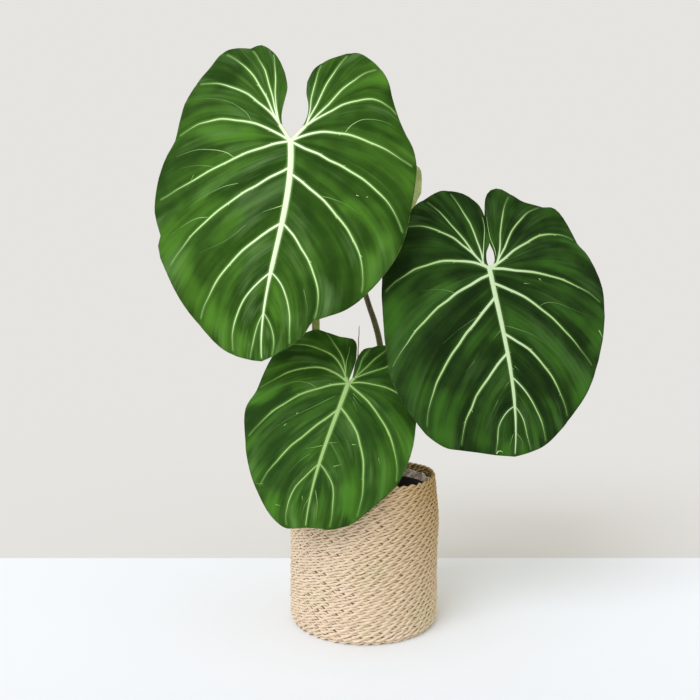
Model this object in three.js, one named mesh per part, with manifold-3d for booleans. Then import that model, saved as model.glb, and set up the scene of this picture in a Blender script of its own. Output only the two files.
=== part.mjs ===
// A philodendron gloriosum with four heart-shaped leaves, in a nursery pot that stands in a woven basket.
// Millimetres, +Z up. The origin is the middle of the basket's underside, and -Y is the plant's front.
import * as THREE from "three";
import { mergeVertices } from "three/addons/utils/BufferGeometryUtils.js";
import Module from "manifold-3d";

const wasm = await Module();
wasm.setup();

// ---- Driving dimensions -------------------------------------------------------------------------------

const GAP = 0.35; // between pieces that rest on each other
const SIDES = 32; // of every round piece, so that nested walls stay parallel

const BASKET = {
  radius: 87.2,
  height: 167,
  wall: 6,
  bottomRadius: 80, // flat underside
  cornerBulge: [85, 2.5], // [radius, height] halfway round the bottom edge
  cornerTop: 9, // height at which the rounded bottom edge has reached the full radius
  rows: 35, // cords one above the other
  relief: 1.2, // depth of the groove between two cords
  rimRound: 1.5,
  rimWave: 0.8, // the rim rises and sinks by this, three times round
};

const LINER = {
  wall: 0.8,
  top: 161,
  freeFrom: 140, // below this height the film lies against the basket
  lean: 2.2, // most that its edge leans inwards
  sag: 3, // most that its edge sinks
  crumples: 9,
};

const POT = {
  baseRadius: 56,
  neckRadius: 72.4, // under the rim band
  rimRadius: 76,
  height: 145,
  bandHeight: 14,
  bandLip: 1.5, // height over which the band's lower edge widens
  wall: 1.5,
  footRound: 2,
  rimRound: 0.6,
  drainRadius: 5,
  drainCircle: 34,
  drains: 4,
};

const MIX = {
  top: 136,
  lump: 2, // height of the larger lumps
  lumpReach: 10,
  crumb: 1.2, // height of the smaller ones
  crumbReach: 6,
  rings: [0, 0.22, 0.45, 0.68, 0.88, 1], // shares of the radius
};

const BLADE = {
  thickness: 0.9,
  rows: 6, // steps from the midrib to the margin
  columnStep: 25, // largest step along the midrib or the margin
  forkSteps: 2,
  sinusEase: 0.62, // below 1, the mesh rows draw apart near the joint, so that none folds beside the fork
  puff: 0.055, // rise of the blade between two ribs, as a share of their distance
  puffMost: 2.2,
  ripples: 5.5, // waves along the margin from sinus to tip
};

const RIB = {
  height: 1.1,
  midribHalf: 3.3, // half width at the joint
  midribTaper: 0.8, // below 1 it narrows soonest near the joint
  veinHalf: 1.5, // half width at its root of a side vein of fullLength or longer
  fullLength: 130,
  forkHalf: 2, // of the short rib from the joint to a half's fork
  tipHalf: 0.5,
  reach: 0.95, // share of a side vein's way to the margin
  midribReach: 0.97,
  inset: 3, // a side vein starts this far inside the rib that it branches from
  layer: 0.05, // ribs that meet lie in layers this far apart, so that no two of their faces share a plane
  midribRise: 0.4, // of the midrib's top over the side veins' tops
};

const PETIOLE = {
  sides: 8,
  steps: 18,
  seat: 5, // distance from the joint towards the tip at which it meets the blade
  straight: 9, // its last stretch, square to the blade
};

const RHIZOME = {
  route: [[-66, 3, 136], [-54, 5, 139], [-22, 1, 139], [8, 4, 139], [38, -2, 139], [52, -5, 136]],
  radius: 11,
  endRadius: 4,
  ringEvery: 13, // distance between the leaf scars
  ringRelief: 0.9,
  sides: 10,
};

// ---- Leaves -------------------------------------------------------------------------------------------
// A blade lies in a plane of its own: u to its right, v up towards the lobes, origin where the petiole
// joins. turn, tilt and roll place that plane, in degrees. It then bends back by arch at halfWidth and
// droop at the tip. sway bends the midrib sideways at one third, at two thirds and at the tip.
// Each half runs from the joint along the sinus, then round the lobe and down the margin to the tip. Its
// points are [distance from the midline, v]. A margin point where a side vein ends also has the height of
// the vein's root on the midrib, or FORK for a vein of the lobe that starts at the half's fork, and the
// point [distance, v] that it bends through.

const FORK = "fork";

const LEAF_1 = {
  joint: [-80, -70, 538],
  turn: -6,
  tilt: 4,
  roll: -7,
  arch: 16,
  halfWidth: 145,
  droop: 14,
  length: 239,
  sway: [16, -17, -2],
  ripple: 2.6,
  left: {
    fork: [14, 17],
    sinus: [[0, 0], [10, 14], [14, 28], [13, 44], [12, 60], [17, 76]],
    margin: [
      [17, 76], [24, 88], [34, 99, FORK, 23, 50], [48, 106], [61, 103, FORK, 34, 54], [76, 101],
      [92, 95, FORK, 47, 60], [103, 79], [121, 60, FORK, 63, 52], [130, 38], [132, 16],
      [138, -6, 0, 68, 19],
      [144, -28], [148, -52], [149, -78, 0, 76, -31], [144, -96], [136, -114], [138, -130],
      [124, -154, -28, 63, -82], [100, -185], [77, -208, -89, 47, -142], [52, -228],
      [34, -236, -143, 31, -180], [15, -239, -187, 13, -213], [2, -239],
    ],
  },
  right: {
    fork: [14, 18],
    sinus: [[0, 0], [9, 14], [14, 28], [14, 41], [10, 54], [9, 67]],
    margin: [
      [9, 67], [14, 80], [23, 90, FORK, 19, 50], [36, 97], [51, 105, FORK, 29, 58], [66, 103],
      [86, 90, FORK, 43, 56], [97, 75], [103, 59], [113, 38, FORK, 59, 48], [122, 21], [132, 6],
      [138, -14, 0, 66, 15], [138, -40], [137, -67], [134, -92, 0, 78, -29], [127, -114], [114, -137],
      [95, -161, -35, 69, -84], [80, -175], [62, -184], [48, -191, -89, 43, -137], [40, -206],
      [26, -220, -143, 22, -178], [8, -233, -187, 7, -208], [-2, -239],
    ],
  },
  petiole: {
    route: [[-54, 5, 141], [-57, 5, 200], [-57, 5, 342], [-62, 2, 440], [-74, -18, 512]],
    radii: [7.5, 6, 5.2, 4.8, 4],
  },
};

const LEAF_2 = {
  joint: [140, -44, 404],
  turn: 8,
  tilt: 12,
  roll: 8,
  arch: 14,
  halfWidth: 120,
  droop: 12,
  length: 208,
  sway: [7, 1, -12],
  ripple: 2,
  left: {
    fork: [5, 9],
    sinus: [[0, 0], [2.4, 7.5], [1, 16], [-3, 27], [-5.5, 42], [-6.5, 56], [-7, 70]],
    margin: [
      [-7, 70], [-3, 80], [6, 89], [26, 97, FORK, 11, 51], [41, 98], [57, 92, FORK, 27, 47], [71, 84],
      [95, 61, FORK, 45, 49], [106, 46], [115, 27], [124, -12, 0, 56, 17], [128, -48], [131, -70],
      [130, -98, -7, 68, -38], [125, -123], [114, -150], [102, -170, -33, 64, -92], [86, -186],
      [69, -192, -97, 45, -142], [50, -198], [33, -203, -157, 26, -178], [12, -208],
    ],
  },
  right: {
    fork: [10, 10],
    sinus: [[0, 0], [4, 6], [8, 13], [9.5, 24], [8, 36], [8.5, 50], [9.5, 64]],
    margin: [
      [9.5, 64], [11, 77], [20, 93], [32, 94], [46, 87, FORK, 26, 46], [60, 76], [84, 69, FORK, 42, 45],
      [96, 65], [108, 50], [121, 22, FORK, 63, 30], [130, 5], [137, -28], [136, -57, 0, 71, -13],
      [130, -78], [119, -104], [104, -130, -17, 59, -61], [88, -150], [75, -164],
      [57, -180, -75, 40, -121], [42, -190], [25, -201, -123, 19, -161], [7, -206, -157, 5, -182],
      [-12, -208],
    ],
  },
  petiole: {
    route: [[37, -5, 141], [42, -4, 200], [62, -4, 260], [95, -7, 332], [126, -14, 382]],
    radii: [6.5, 5.5, 4.8, 4.4, 3.6],
  },
};

const LEAF_3 = {
  joint: [-18, -40, 275],
  turn: -4,
  tilt: 28,
  roll: -13,
  arch: 12,
  halfWidth: 90,
  droop: 12,
  length: 163,
  sway: [0, -13, -3],
  ripple: 1.8,
  left: {
    fork: [4, 7],
    sinus: [[0, 0], [1, 6], [0.5, 14], [-0.5, 25], [0.5, 37], [3, 48]],
    margin: [
      [3, 48], [11, 54], [25, 57], [44, 61, FORK, 20, 33], [58, 60], [75, 50], [87, 39, FORK, 44, 37],
      [95, 27], [102, 6], [105, -25, 0, 56, 11], [110, -44], [107, -60], [100, -79, 0, 48, -22],
      [91, -100], [79, -120], [65, -138, -32, 38, -75], [47, -156], [33, -165], [21, -168, -96, 27, -134],
      [3, -163],
    ],
  },
  right: {
    fork: [5, 8],
    sinus: [[0, 0], [2, 5], [3, 13], [3.5, 23], [6, 36]],
    margin: [
      [6, 36], [15, 50, FORK, 10, 27], [23, 56], [35, 57, FORK, 18, 32], [54, 49, FORK, 27, 26], [64, 37],
      [73, 22], [81, -9, 0, 41, 7], [84, -30], [86, -52], [84, -76], [77, -99, 0, 52, -37],
      [64, -121], [45, -145, -29, 37, -79], [33, -154], [21, -159, -96, 18, -126], [-3, -163],
    ],
  },
  petiole: {
    route: [[-22, 2, 141], [-21, 8, 190], [-19, 4, 235], [-18, -10, 261]],
    radii: [6, 4.8, 4, 3.6],
  },
};

// The youngest leaf faces the back, so that its underside is towards the front.
const LEAF_4 = {
  ...LEAF_3,
  joint: [-32, 105, 533],
  turn: 220,
  tilt: 56,
  roll: -56,
  arch: 8,
  droop: 10,
  petiole: {
    route: [[20, 8, 141], [22, 16, 220], [21, 30, 320], [4, 36, 380], [-12, 51, 436], [-25, 82, 500]],
    radii: [6, 4.6, 3.7, 3.6, 3.4, 3.2],
  },
};

// A dried, pointed leaf sheath.
const SHEATH = {
  route: [[-2, 4, 144], [-3, 9, 210], [-7, 12, 280], [-5, 12, 342]],
  halfWidths: [5, 3.4, 1.8, 0.6],
  halfThickness: [1.6, 0.9, 0.7, 0.5],
};

// ---- Materials ----------------------------------------------------------------------------------------

const finish = (color, roughness) => new THREE.MeshStandardMaterial({ color, roughness, metalness: 0 });

const CORD_FINISH = finish(0xd2ba94, 0.9);
const FILM_FINISH = finish(0xb8a8a4, 0.4);
const POT_FINISH = finish(0x17171a, 0.55);
const MIX_FINISH = finish(0x33261d, 1);
const RHIZOME_FINISH = finish(0x5d4a30, 0.8);
const SHEATH_FINISH = finish(0x8a8560, 0.85);
const BLADE_FINISH = finish(0x35601f, 0.55);
const RIB_FINISH = finish(0xc9dcae, 0.6);
const PETIOLE_FINISH = finish(0x5f6b3d, 0.55);

// ---- Geometry helpers ---------------------------------------------------------------------------------

const lerp = THREE.MathUtils.lerp;
const radians = THREE.MathUtils.degToRad;

// A closed surface from its points and its triangles. Triangles that have no area are left out.
function surface(points, triangles) {
  const flat = new THREE.BufferGeometry();
  const numbers = points.flatMap((p) => [p.x, p.y, p.z]);
  flat.setAttribute("position", new THREE.Float32BufferAttribute(numbers, 3));
  flat.setIndex(triangles.flat());
  const merged = mergeVertices(flat, 1e-3);
  const corners = [...merged.index.array];
  const kept = [];
  for (let i = 0; i < corners.length; i += 3) {
    const [a, b, c] = corners.slice(i, i + 3);
    if (a !== b && b !== c && c !== a) kept.push(a, b, c);
  }
  merged.setIndex(kept);
  return merged;
}

// Rings of equal size, one after another, joined by walls and closed by a flat cap at both ends.
function loft(rings) {
  const size = rings[0].length;
  const triangles = [];
  for (let r = 0; r + 1 < rings.length; r++) {
    for (let i = 0; i < size; i++) {
      const a = r * size + i;
      const b = r * size + ((i + 1) % size);
      triangles.push([a, b, b + size], [a, b + size, a + size]);
    }
  }
  const last = (rings.length - 1) * size;
  for (let i = 1; i + 1 < size; i++) {
    triangles.push([0, i + 1, i], [last, last + i, last + i + 1]);
  }
  return surface(rings.flat(), triangles);
}

// A solid of revolution about Z whose profile [radius, z] may change with the angle. The profile starts and
// ends on the axis, and runs with the solid on its left: under it, up its outside and down its inside.
function revolve(profileAt) {
  const points = [];
  for (let s = 0; s < SIDES; s++) {
    const angle = (2 * Math.PI * s) / SIDES;
    for (const [radius, z] of profileAt(angle)) {
      points.push(new THREE.Vector3(radius * Math.cos(angle), radius * Math.sin(angle), z));
    }
  }
  const count = points.length / SIDES;
  const triangles = [];
  for (let s = 0; s < SIDES; s++) {
    const here = s * count;
    const next = ((s + 1) % SIDES) * count;
    for (let i = 0; i + 1 < count; i++) {
      triangles.push([here + i, next + i, next + i + 1], [here + i, next + i + 1, here + i + 1]);
    }
  }
  return surface(points, triangles);
}

// Rings round a smooth route through the points, whose two radii follow the given lists.
function tube(route, wide, deep, sides, steps) {
  const curve = new THREE.CatmullRomCurve3(route.map((p) => new THREE.Vector3(...p)));
  const frames = curve.computeFrenetFrames(steps);
  const along = (list, t) => {
    const place = Math.min(t * (list.length - 1), list.length - 1 - 1e-9);
    const i = Math.floor(place);
    return lerp(list[i], list[i + 1], place - i);
  };
  const rings = [];
  for (let s = 0; s <= steps; s++) {
    const t = s / steps;
    const centre = curve.getPointAt(t);
    const ring = [];
    for (let i = 0; i < sides; i++) {
      const angle = (2 * Math.PI * i) / sides;
      ring.push(
        centre
          .clone()
          .addScaledVector(frames.normals[s], along(wide, t) * Math.cos(angle))
          .addScaledVector(frames.binormals[s], along(deep, t) * Math.sin(angle)),
      );
    }
    rings.push(ring);
  }
  return loft(rings);
}

function toSolid(geometry) {
  return new wasm.Manifold(
    new wasm.Mesh({
      numProp: 3,
      vertProperties: new Float32Array(geometry.attributes.position.array),
      triVerts: new Uint32Array(geometry.index.array),
    }),
  );
}

function toGeometry(solid) {
  const mesh = solid.getMesh();
  const geometry = new THREE.BufferGeometry();
  geometry.setAttribute("position", new THREE.BufferAttribute(new Float32Array(mesh.vertProperties), 3));
  geometry.setIndex(new THREE.BufferAttribute(new Uint32Array(mesh.triVerts), 1));
  return geometry;
}

function cut(geometry, cutters) {
  return toGeometry(cutters.reduce((left, cutter) => left.subtract(toSolid(cutter)), toSolid(geometry)));
}

function fuse(geometries) {
  const [first, ...others] = geometries.map(toSolid);
  return toGeometry(others.reduce((sum, solid) => sum.add(solid), first));
}

// ---- Basket, liner, pot and mix -----------------------------------------------------------------------

function basket() {
  const { radius, height, wall, bottomRadius, cornerBulge, cornerTop, rows, relief, rimRound } = BASKET;
  const pitch = (height - cornerTop) / rows;
  return revolve((angle) => {
    const rim = height + BASKET.rimWave * Math.sin(3 * angle + 1);
    const profile = [[0, 0], [bottomRadius, 0], cornerBulge, [radius - relief, cornerTop]];
    for (let row = 0; row < rows; row++) {
      const z = cornerTop + pitch * row;
      profile.push([radius, z + pitch / 2]);
      if (row < rows - 1) profile.push([radius - relief, z + pitch]);
    }
    profile.push([radius - rimRound, rim], [radius - wall + rimRound, rim]);
    profile.push([radius - wall, rim - rimRound], [radius - wall, wall], [0, wall]);
    return profile;
  });
}

// Thin film that lines the basket. Its free edge leans inwards in crumples.
function basketLiner() {
  const outer = BASKET.radius - BASKET.wall - GAP;
  const floor = BASKET.wall + GAP;
  const { wall, top, freeFrom, lean, sag, crumples } = LINER;
  return revolve((angle) => {
    const crumple = (1 + Math.sin(crumples * angle) * Math.cos(4 * angle)) / 2;
    const edge = outer - lean * crumple;
    const height = top - sag * crumple;
    return [
      [0, floor], [outer, floor], [outer, freeFrom], [edge, height], [edge - wall, height],
      [outer - wall, freeFrom], [outer - wall, floor + wall], [0, floor + wall],
    ];
  });
}

const POT_FLOOR = BASKET.wall + LINER.wall + 2 * GAP;

function nurseryPot() {
  const { baseRadius, neckRadius, rimRadius, height, bandHeight, bandLip, wall, footRound, rimRound } = POT;
  const band = POT_FLOOR + height - bandHeight;
  const rim = POT_FLOOR + height;
  const body = revolve(() => [
    [0, POT_FLOOR], [baseRadius - footRound, POT_FLOOR], [baseRadius, POT_FLOOR + footRound],
    [neckRadius, band], [rimRadius - rimRound, band], [rimRadius, band + bandLip],
    [rimRadius, rim - rimRound], [rimRadius - rimRound, rim], [rimRadius - wall, rim],
    [rimRadius - wall, band + wall],
    [neckRadius - wall, band + wall], [baseRadius - wall, POT_FLOOR + wall], [0, POT_FLOOR + wall],
  ]);
  return cut(body, drainPlugs());
}

function drainPlugs() {
  const plugs = [];
  for (let i = 0; i < POT.drains; i++) {
    const angle = (2 * Math.PI * (i + 0.5)) / POT.drains;
    const plug = new THREE.CylinderGeometry(POT.drainRadius, POT.drainRadius, 4 * POT.wall, 8);
    plug.rotateX(Math.PI / 2);
    plug.translate(POT.drainCircle * Math.cos(angle), POT.drainCircle * Math.sin(angle), POT_FLOOR);
    plug.deleteAttribute("normal");
    plug.deleteAttribute("uv");
    plugs.push(mergeVertices(plug));
  }
  return plugs;
}

// Inside of the pot's tapered wall, less the gap.
function mixRadius(z) {
  const { baseRadius, neckRadius, height, bandHeight, wall } = POT;
  const t = (z - POT_FLOOR - wall) / (height - bandHeight);
  return lerp(baseRadius - wall, neckRadius - wall, t) - 2 * GAP;
}

function pottingMix() {
  const { top, lump, lumpReach, crumb, crumbReach, rings } = MIX;
  const floor = POT_FLOOR + POT.wall + GAP;
  const rim = mixRadius(top);
  const lumpy = (x, y) => {
    const large = Math.sin(x / lumpReach + 1) * Math.cos(y / lumpReach);
    return lump * large + crumb * Math.sin((x - y) / crumbReach);
  };
  const body = revolve((angle) => {
    const crust = rings.map((share) => {
      const r = share * rim;
      const fade = 1 - share ** 6;
      return [r, top + fade * lumpy(r * Math.cos(angle), r * Math.sin(angle))];
    });
    return [[0, floor], [mixRadius(floor), floor], ...crust.reverse()];
  });
  return cut(body, [rhizomeBody(GAP)]);
}

// ---- Rhizome, petioles and sheath ---------------------------------------------------------------------

// The creeping stem, ringed by leaf scars. It tapers at both ends.
function rhizomeBody(grow) {
  const { route, radius, endRadius, ringEvery, ringRelief } = RHIZOME;
  const length = new THREE.CatmullRomCurve3(route.map((p) => new THREE.Vector3(...p))).getLength();
  const rings = Math.round(length / ringEvery) * 2;
  const radii = [];
  for (let i = 0; i <= rings; i++) {
    const end = i === 0 || i === rings;
    const scar = i % 2 ? ringRelief : 0;
    radii.push((end ? endRadius : radius + scar) + grow);
  }
  return tube(route, radii, radii, RHIZOME.sides, rings);
}

function rhizome() {
  const sockets = LEAVES.map((leaf) => petiole(leaf, GAP));
  sockets.push(driedSheath(GAP));
  return cut(rhizomeBody(0), sockets);
}

// A stalk from the rhizome to the joint. With grow above 0 it is the socket that the stalk stands in.
function petiole(leaf, grow) {
  const { route, radii } = leaf.petiole;
  const frame = leafFrame(leaf);
  const seat = onLeaf(leaf, frame, 0, -PETIOLE.seat, -BLADE.thickness / 2 - GAP);
  const before = seat.clone().addScaledVector(frame.normal, -PETIOLE.straight);
  const foot = [...route[0]];
  foot[2] -= grow;
  const points = [foot, ...route.slice(1), before.toArray(), seat.toArray()];
  const widths = [...radii, radii.at(-1), radii.at(-1)].map((r) => r + grow);
  return tube(points, widths, widths, PETIOLE.sides, PETIOLE.steps);
}

function driedSheath(grow) {
  const { route, halfWidths, halfThickness } = SHEATH;
  const foot = [...route[0]];
  foot[2] -= grow;
  const grown = (list) => list.map((size) => size + grow);
  return tube([foot, ...route.slice(1)], grown(halfWidths), grown(halfThickness), 6, 10);
}

// ---- Leaf blades and ribs -----------------------------------------------------------------------------

// Directions of a leaf's own axes: across, up towards the lobes, and out of its upper face.
function leafFrame({ turn, tilt, roll }) {
  const [t, e, r] = [turn, tilt, roll].map(radians);
  const normal = new THREE.Vector3(Math.sin(t) * Math.cos(e), -Math.cos(t) * Math.cos(e), Math.sin(e));
  const up = new THREE.Vector3(0, 0, 1).addScaledVector(normal, -normal.z).normalize();
  const right = up.clone().cross(normal);
  return {
    normal,
    across: right.clone().multiplyScalar(Math.cos(r)).addScaledVector(up, Math.sin(r)),
    upward: up.clone().multiplyScalar(Math.cos(r)).addScaledVector(right, -Math.sin(r)),
  };
}

// A point of the bent blade, and lift above its middle surface.
function onLeaf(leaf, frame, u, v, lift) {
  const bend = leaf.arch * (u / leaf.halfWidth) ** 2 + leaf.droop * (v / leaf.length) ** 2;
  return new THREE.Vector3(...leaf.joint)
    .addScaledVector(frame.across, u)
    .addScaledVector(frame.upward, v)
    .addScaledVector(frame.normal, lift - bend);
}

// The midrib at height v: a cubic curve whose control points sway to the side.
function midribAt(leaf, v) {
  const t = -v / leaf.length;
  const [first, second, tip] = leaf.sway;
  return [3 * first * t * (1 - t) ** 2 + 3 * second * t * t * (1 - t) + tip * t ** 3, v];
}

const mix = (p, q, a) => [lerp(p[0], q[0], a), lerp(p[1], q[1], a)];
const away = (p, q) => Math.hypot(p[0] - q[0], p[1] - q[1]);

// A smooth curve through plane points, run by t from 0 to 1.
function smooth(points) {
  const curve = new THREE.SplineCurve(points.map((p) => new THREE.Vector2(...p)));
  return (t) => curve.getPoint(t).toArray();
}

// The curves that divide one half of a blade, from the sinus edge through the side veins to the midrib's
// last stretch. Each has its root height on the midrib and its place on the margin, and runs over b = 0..1.
function halfCurves(leaf, side) {
  const { fork, sinus, margin } = side < 0 ? leaf.left : leaf.right;
  const placed = ([distance, v]) => [side * distance, v];
  const rim = smooth(margin.map(placed));
  const edge = smooth(sinus.map(placed));
  const curves = [{ root: 0, at: 0, point: (b) => edge(b ** BLADE.sinusEase) }];
  margin.forEach(([distance, v, root, bendU, bendV], i) => {
    if (root === undefined) return;
    const start = root === FORK ? placed(fork) : midribAt(leaf, root);
    const end = placed([distance, v]);
    const bend = placed([bendU, bendV]);
    const point = (b) => {
      const shares = [(1 - b) * (1 - 2 * b), 4 * b * (1 - b), b * (2 * b - 1)];
      return [0, 1].map((k) => start[k] * shares[0] + bend[k] * shares[1] + end[k] * shares[2]);
    };
    curves.push({ root, at: i / (margin.length - 1), point });
  });
  const root = curves.at(-1).root;
  curves.push({ root, at: 1, point: (b) => midribAt(leaf, lerp(root, -leaf.length, b)) });
  return { rim, curves, fork: placed(fork) };
}

// Heights on the midrib where columns of the mesh start: every root of both halves, and steps between them.
function midribStations(leaf) {
  const roots = [-1, 1].flatMap((side) => halfCurves(leaf, side).curves.map((curve) => curve.root));
  const sorted = [...new Set(roots)].filter((root) => root !== FORK).sort((a, b) => b - a);
  const stations = [];
  sorted.forEach((root, i) => {
    stations.push(root);
    if (i + 1 === sorted.length) return;
    const steps = Math.ceil((root - sorted[i + 1]) / BLADE.columnStep);
    for (let s = 1; s < steps; s++) stations.push(lerp(root, sorted[i + 1], s / steps));
  });
  return stations;
}

// The shares across one sector, from 0 at its first curve to 1 at its second, where mesh columns run. The
// two sectors on either side of the short rib from the joint to the fork have equally many.
function sectorShares(leaf, rim, from, to) {
  if (from.root !== to.root && from.root !== FORK && to.root !== FORK) {
    const inside = midribStations(leaf).filter((v) => v <= from.root && v >= to.root);
    return inside.map((v) => (v - from.root) / (to.root - from.root));
  }
  const besideFork = from.root !== to.root;
  const steps = besideFork ? BLADE.forkSteps : Math.ceil(away(rim(from.at), rim(to.at)) / BLADE.columnStep);
  return Array.from({ length: steps + 1 }, (_, i) => i / steps);
}

// A point of the sector between two curves: plane position and height above the bent middle surface.
function sectorPoint(leaf, rim, from, to, share, b) {
  const place = lerp(from.at, to.at, share);
  const edge = rim(place);
  const chord = mix(rim(from.at), rim(to.at), share);
  const straight = mix(from.point(0), to.point(0), share);
  const alongMidrib = from.root !== FORK && to.root !== FORK;
  const start = alongMidrib ? midribAt(leaf, lerp(from.root, to.root, share)) : straight;
  const between = mix(from.point(b), to.point(b), share);
  const [u, v] = [0, 1].map(
    (k) => between[k] + b * b * (edge[k] - chord[k]) + (1 - b) ** 2 * (start[k] - straight[k]),
  );
  const puff = (1 - (1 - b) ** 4) * Math.min(BLADE.puff * away(from.point(b), to.point(b)), BLADE.puffMost);
  const phase = 2 * Math.PI * BLADE.ripples * place + leaf.roll;
  const wave = leaf.ripple * b ** 3 * Math.sin(Math.PI * place) * Math.sin(phase);
  return { u, v, lift: puff * Math.sin(Math.PI * share) + wave };
}

function blade(leaf) {
  const frame = leafFrame(leaf);
  const spots = [];
  const index = new Map();
  const triangles = [];
  const spot = (p) => {
    const key = p.u.toFixed(2) + " " + p.v.toFixed(2);
    if (!index.has(key)) index.set(key, spots.push(p) - 1);
    return index.get(key);
  };
  for (const side of [-1, 1]) {
    const { rim, curves } = halfCurves(leaf, side);
    for (let k = 0; k + 1 < curves.length; k++) {
      const shares = sectorShares(leaf, rim, curves[k], curves[k + 1]);
      const grid = shares.map((share) =>
        Array.from({ length: BLADE.rows + 1 }, (_, r) =>
          spot(sectorPoint(leaf, rim, curves[k], curves[k + 1], share, r / BLADE.rows)),
        ),
      );
      for (let c = 0; c + 1 < grid.length; c++) {
        for (let r = 0; r < BLADE.rows; r++) {
          const quad = [grid[c][r], grid[c][r + 1], grid[c + 1][r + 1], grid[c + 1][r]];
          if (side > 0) triangles.push([quad[0], quad[2], quad[1]], [quad[0], quad[3], quad[2]]);
          else triangles.push([quad[0], quad[1], quad[2]], [quad[0], quad[2], quad[3]]);
        }
      }
    }
  }
  return thicken(leaf, frame, spots, triangles.filter(([a, b, c]) => a !== b && b !== c && c !== a));
}

// Two faces with the same triangles, and a wall along every edge that only one triangle has.
function thicken(leaf, frame, spots, triangles) {
  const half = BLADE.thickness / 2;
  const face = (offset) => spots.map(({ u, v, lift }) => onLeaf(leaf, frame, u, v, lift + offset));
  const below = spots.length;
  const edges = new Set(triangles.flatMap(([a, b, c]) => [a + ">" + b, b + ">" + c, c + ">" + a]));
  const all = [...triangles, ...triangles.map(([a, b, c]) => [below + a, below + c, below + b])];
  for (const edge of edges) {
    const [a, b] = edge.split(">").map(Number);
    if (!edges.has(b + ">" + a)) all.push([a, below + b, b], [a, below + a, below + b]);
  }
  return surface([...face(half), ...face(-half)], all);
}

// One raised rib along plane points, with a flat top and a V-shaped underside that follows the channel.
function ribStrip(leaf, frame, line, halfWidths, layer, rise = 0) {
  const base = BLADE.thickness / 2 + layer * RIB.layer;
  const rings = line.map(({ u, v, lift }, i) => {
    const ahead = line[Math.min(i + 1, line.length - 1)];
    const behind = line[Math.max(i - 1, 0)];
    const reach = Math.hypot(ahead.u - behind.u, ahead.v - behind.v);
    const du = ((ahead.v - behind.v) / reach) * halfWidths[i];
    const dv = ((behind.u - ahead.u) / reach) * halfWidths[i];
    const top = lift + base + RIB.height + rise;
    return [
      onLeaf(leaf, frame, u, v, lift + base + GAP),
      onLeaf(leaf, frame, u - du, v - dv, top),
      onLeaf(leaf, frame, u + du, v + dv, top),
    ];
  });
  return loft(rings);
}

function ribs(leaf) {
  const frame = leafFrame(leaf);
  const strips = [midribStrip(leaf, frame)];
  for (const side of [-1, 1]) {
    const { rim, curves, fork } = halfCurves(leaf, side);
    const firstLayer = side < 0 ? 1 : 5;
    strips.push(forkStrip(leaf, frame, fork, firstLayer));
    for (let k = 1; k + 1 < curves.length; k++) {
      const at = (b) => sectorPoint(leaf, rim, curves[k], curves[k + 1], 0, b);
      strips.push(veinStrip(leaf, frame, at, rootInset(leaf, fork, curves[k]), firstLayer + 1 + (k % 3)));
    }
  }
  return fuse(strips);
}

// Where a side vein starts: a little way down the rib that it branches from.
function rootInset(leaf, fork, { root }) {
  if (root !== FORK) return midribAt(leaf, root - RIB.inset);
  return mix(fork, [0, 0], RIB.inset / Math.hypot(...fork));
}

function veinStrip(leaf, frame, at, start, layer) {
  const line = [{ u: start[0], v: start[1], lift: 0 }];
  for (let r = 1; r <= BLADE.rows; r++) line.push(at(Math.min(r / BLADE.rows, RIB.reach)));
  const length = away(start, [line.at(-1).u, line.at(-1).v]);
  const root = RIB.veinHalf * Math.min(1, Math.sqrt(length / RIB.fullLength));
  const halfWidths = line.map((_, i) => lerp(root, RIB.tipHalf, i / BLADE.rows));
  return ribStrip(leaf, frame, line, halfWidths, layer);
}

// The short rib from inside the midrib to a half's fork.
function forkStrip(leaf, frame, fork, layer) {
  const line = [[0, -RIB.inset], mix([0, 0], fork, 0.5), fork].map(([u, v]) => ({ u, v, lift: 0 }));
  return ribStrip(leaf, frame, line, line.map(() => RIB.forkHalf), layer);
}

function midribStrip(leaf, frame) {
  const heights = midribStations(leaf);
  const root = heights.at(-1);
  for (let r = 1; r < BLADE.rows; r++) heights.push(lerp(root, -leaf.length, r / BLADE.rows));
  heights.push(lerp(root, -leaf.length, RIB.midribReach));
  const line = heights.map((height) => {
    const [u, v] = midribAt(leaf, height);
    return { u, v, lift: 0 };
  });
  const narrowing = heights.map((height) => (-height / leaf.length) ** RIB.midribTaper);
  const halfWidths = narrowing.map((share) => lerp(RIB.midribHalf, RIB.tipHalf, share));
  return ribStrip(leaf, frame, line, halfWidths, 0, RIB.midribRise);
}

// ---- Assembly -----------------------------------------------------------------------------------------

const LEAVES = [LEAF_1, LEAF_2, LEAF_3, LEAF_4];

const plant = new THREE.Group();

function add(name, geometry, material) {
  const mesh = new THREE.Mesh(geometry, material);
  mesh.name = name;
  plant.add(mesh);
}

add("basket", basket(), CORD_FINISH);
add("basket_liner", basketLiner(), FILM_FINISH);
add("nursery_pot", nurseryPot(), POT_FINISH);
add("potting_mix", pottingMix(), MIX_FINISH);
add("rhizome", rhizome(), RHIZOME_FINISH);
add("dried_sheath", driedSheath(0), SHEATH_FINISH);
LEAVES.forEach((leaf, i) => {
  const name = "leaf_" + (i + 1);
  add(name + "_blade", blade(leaf), BLADE_FINISH);
  add(name + "_ribs", ribs(leaf), RIB_FINISH);
  add(name + "_petiole", petiole(leaf, 0), PETIOLE_FINISH);
});

export default plant;
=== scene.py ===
"""A philodendron gloriosum in a nursery pot, inside a woven basket planter.

Size fields are in millimetres, as in the plant's frame, and the meshes are made in metres.
The origin is the middle of the basket's underside, +Z is up and -Y is the plant's front.
"""

import logging
import math
from collections.abc import Callable, Sequence
from dataclasses import dataclass, field, replace
from enum import Enum
from itertools import pairwise

import bpy
import numpy as np
from mathutils import Matrix, Vector, noise
from mathutils.bvhtree import BVHTree


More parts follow.
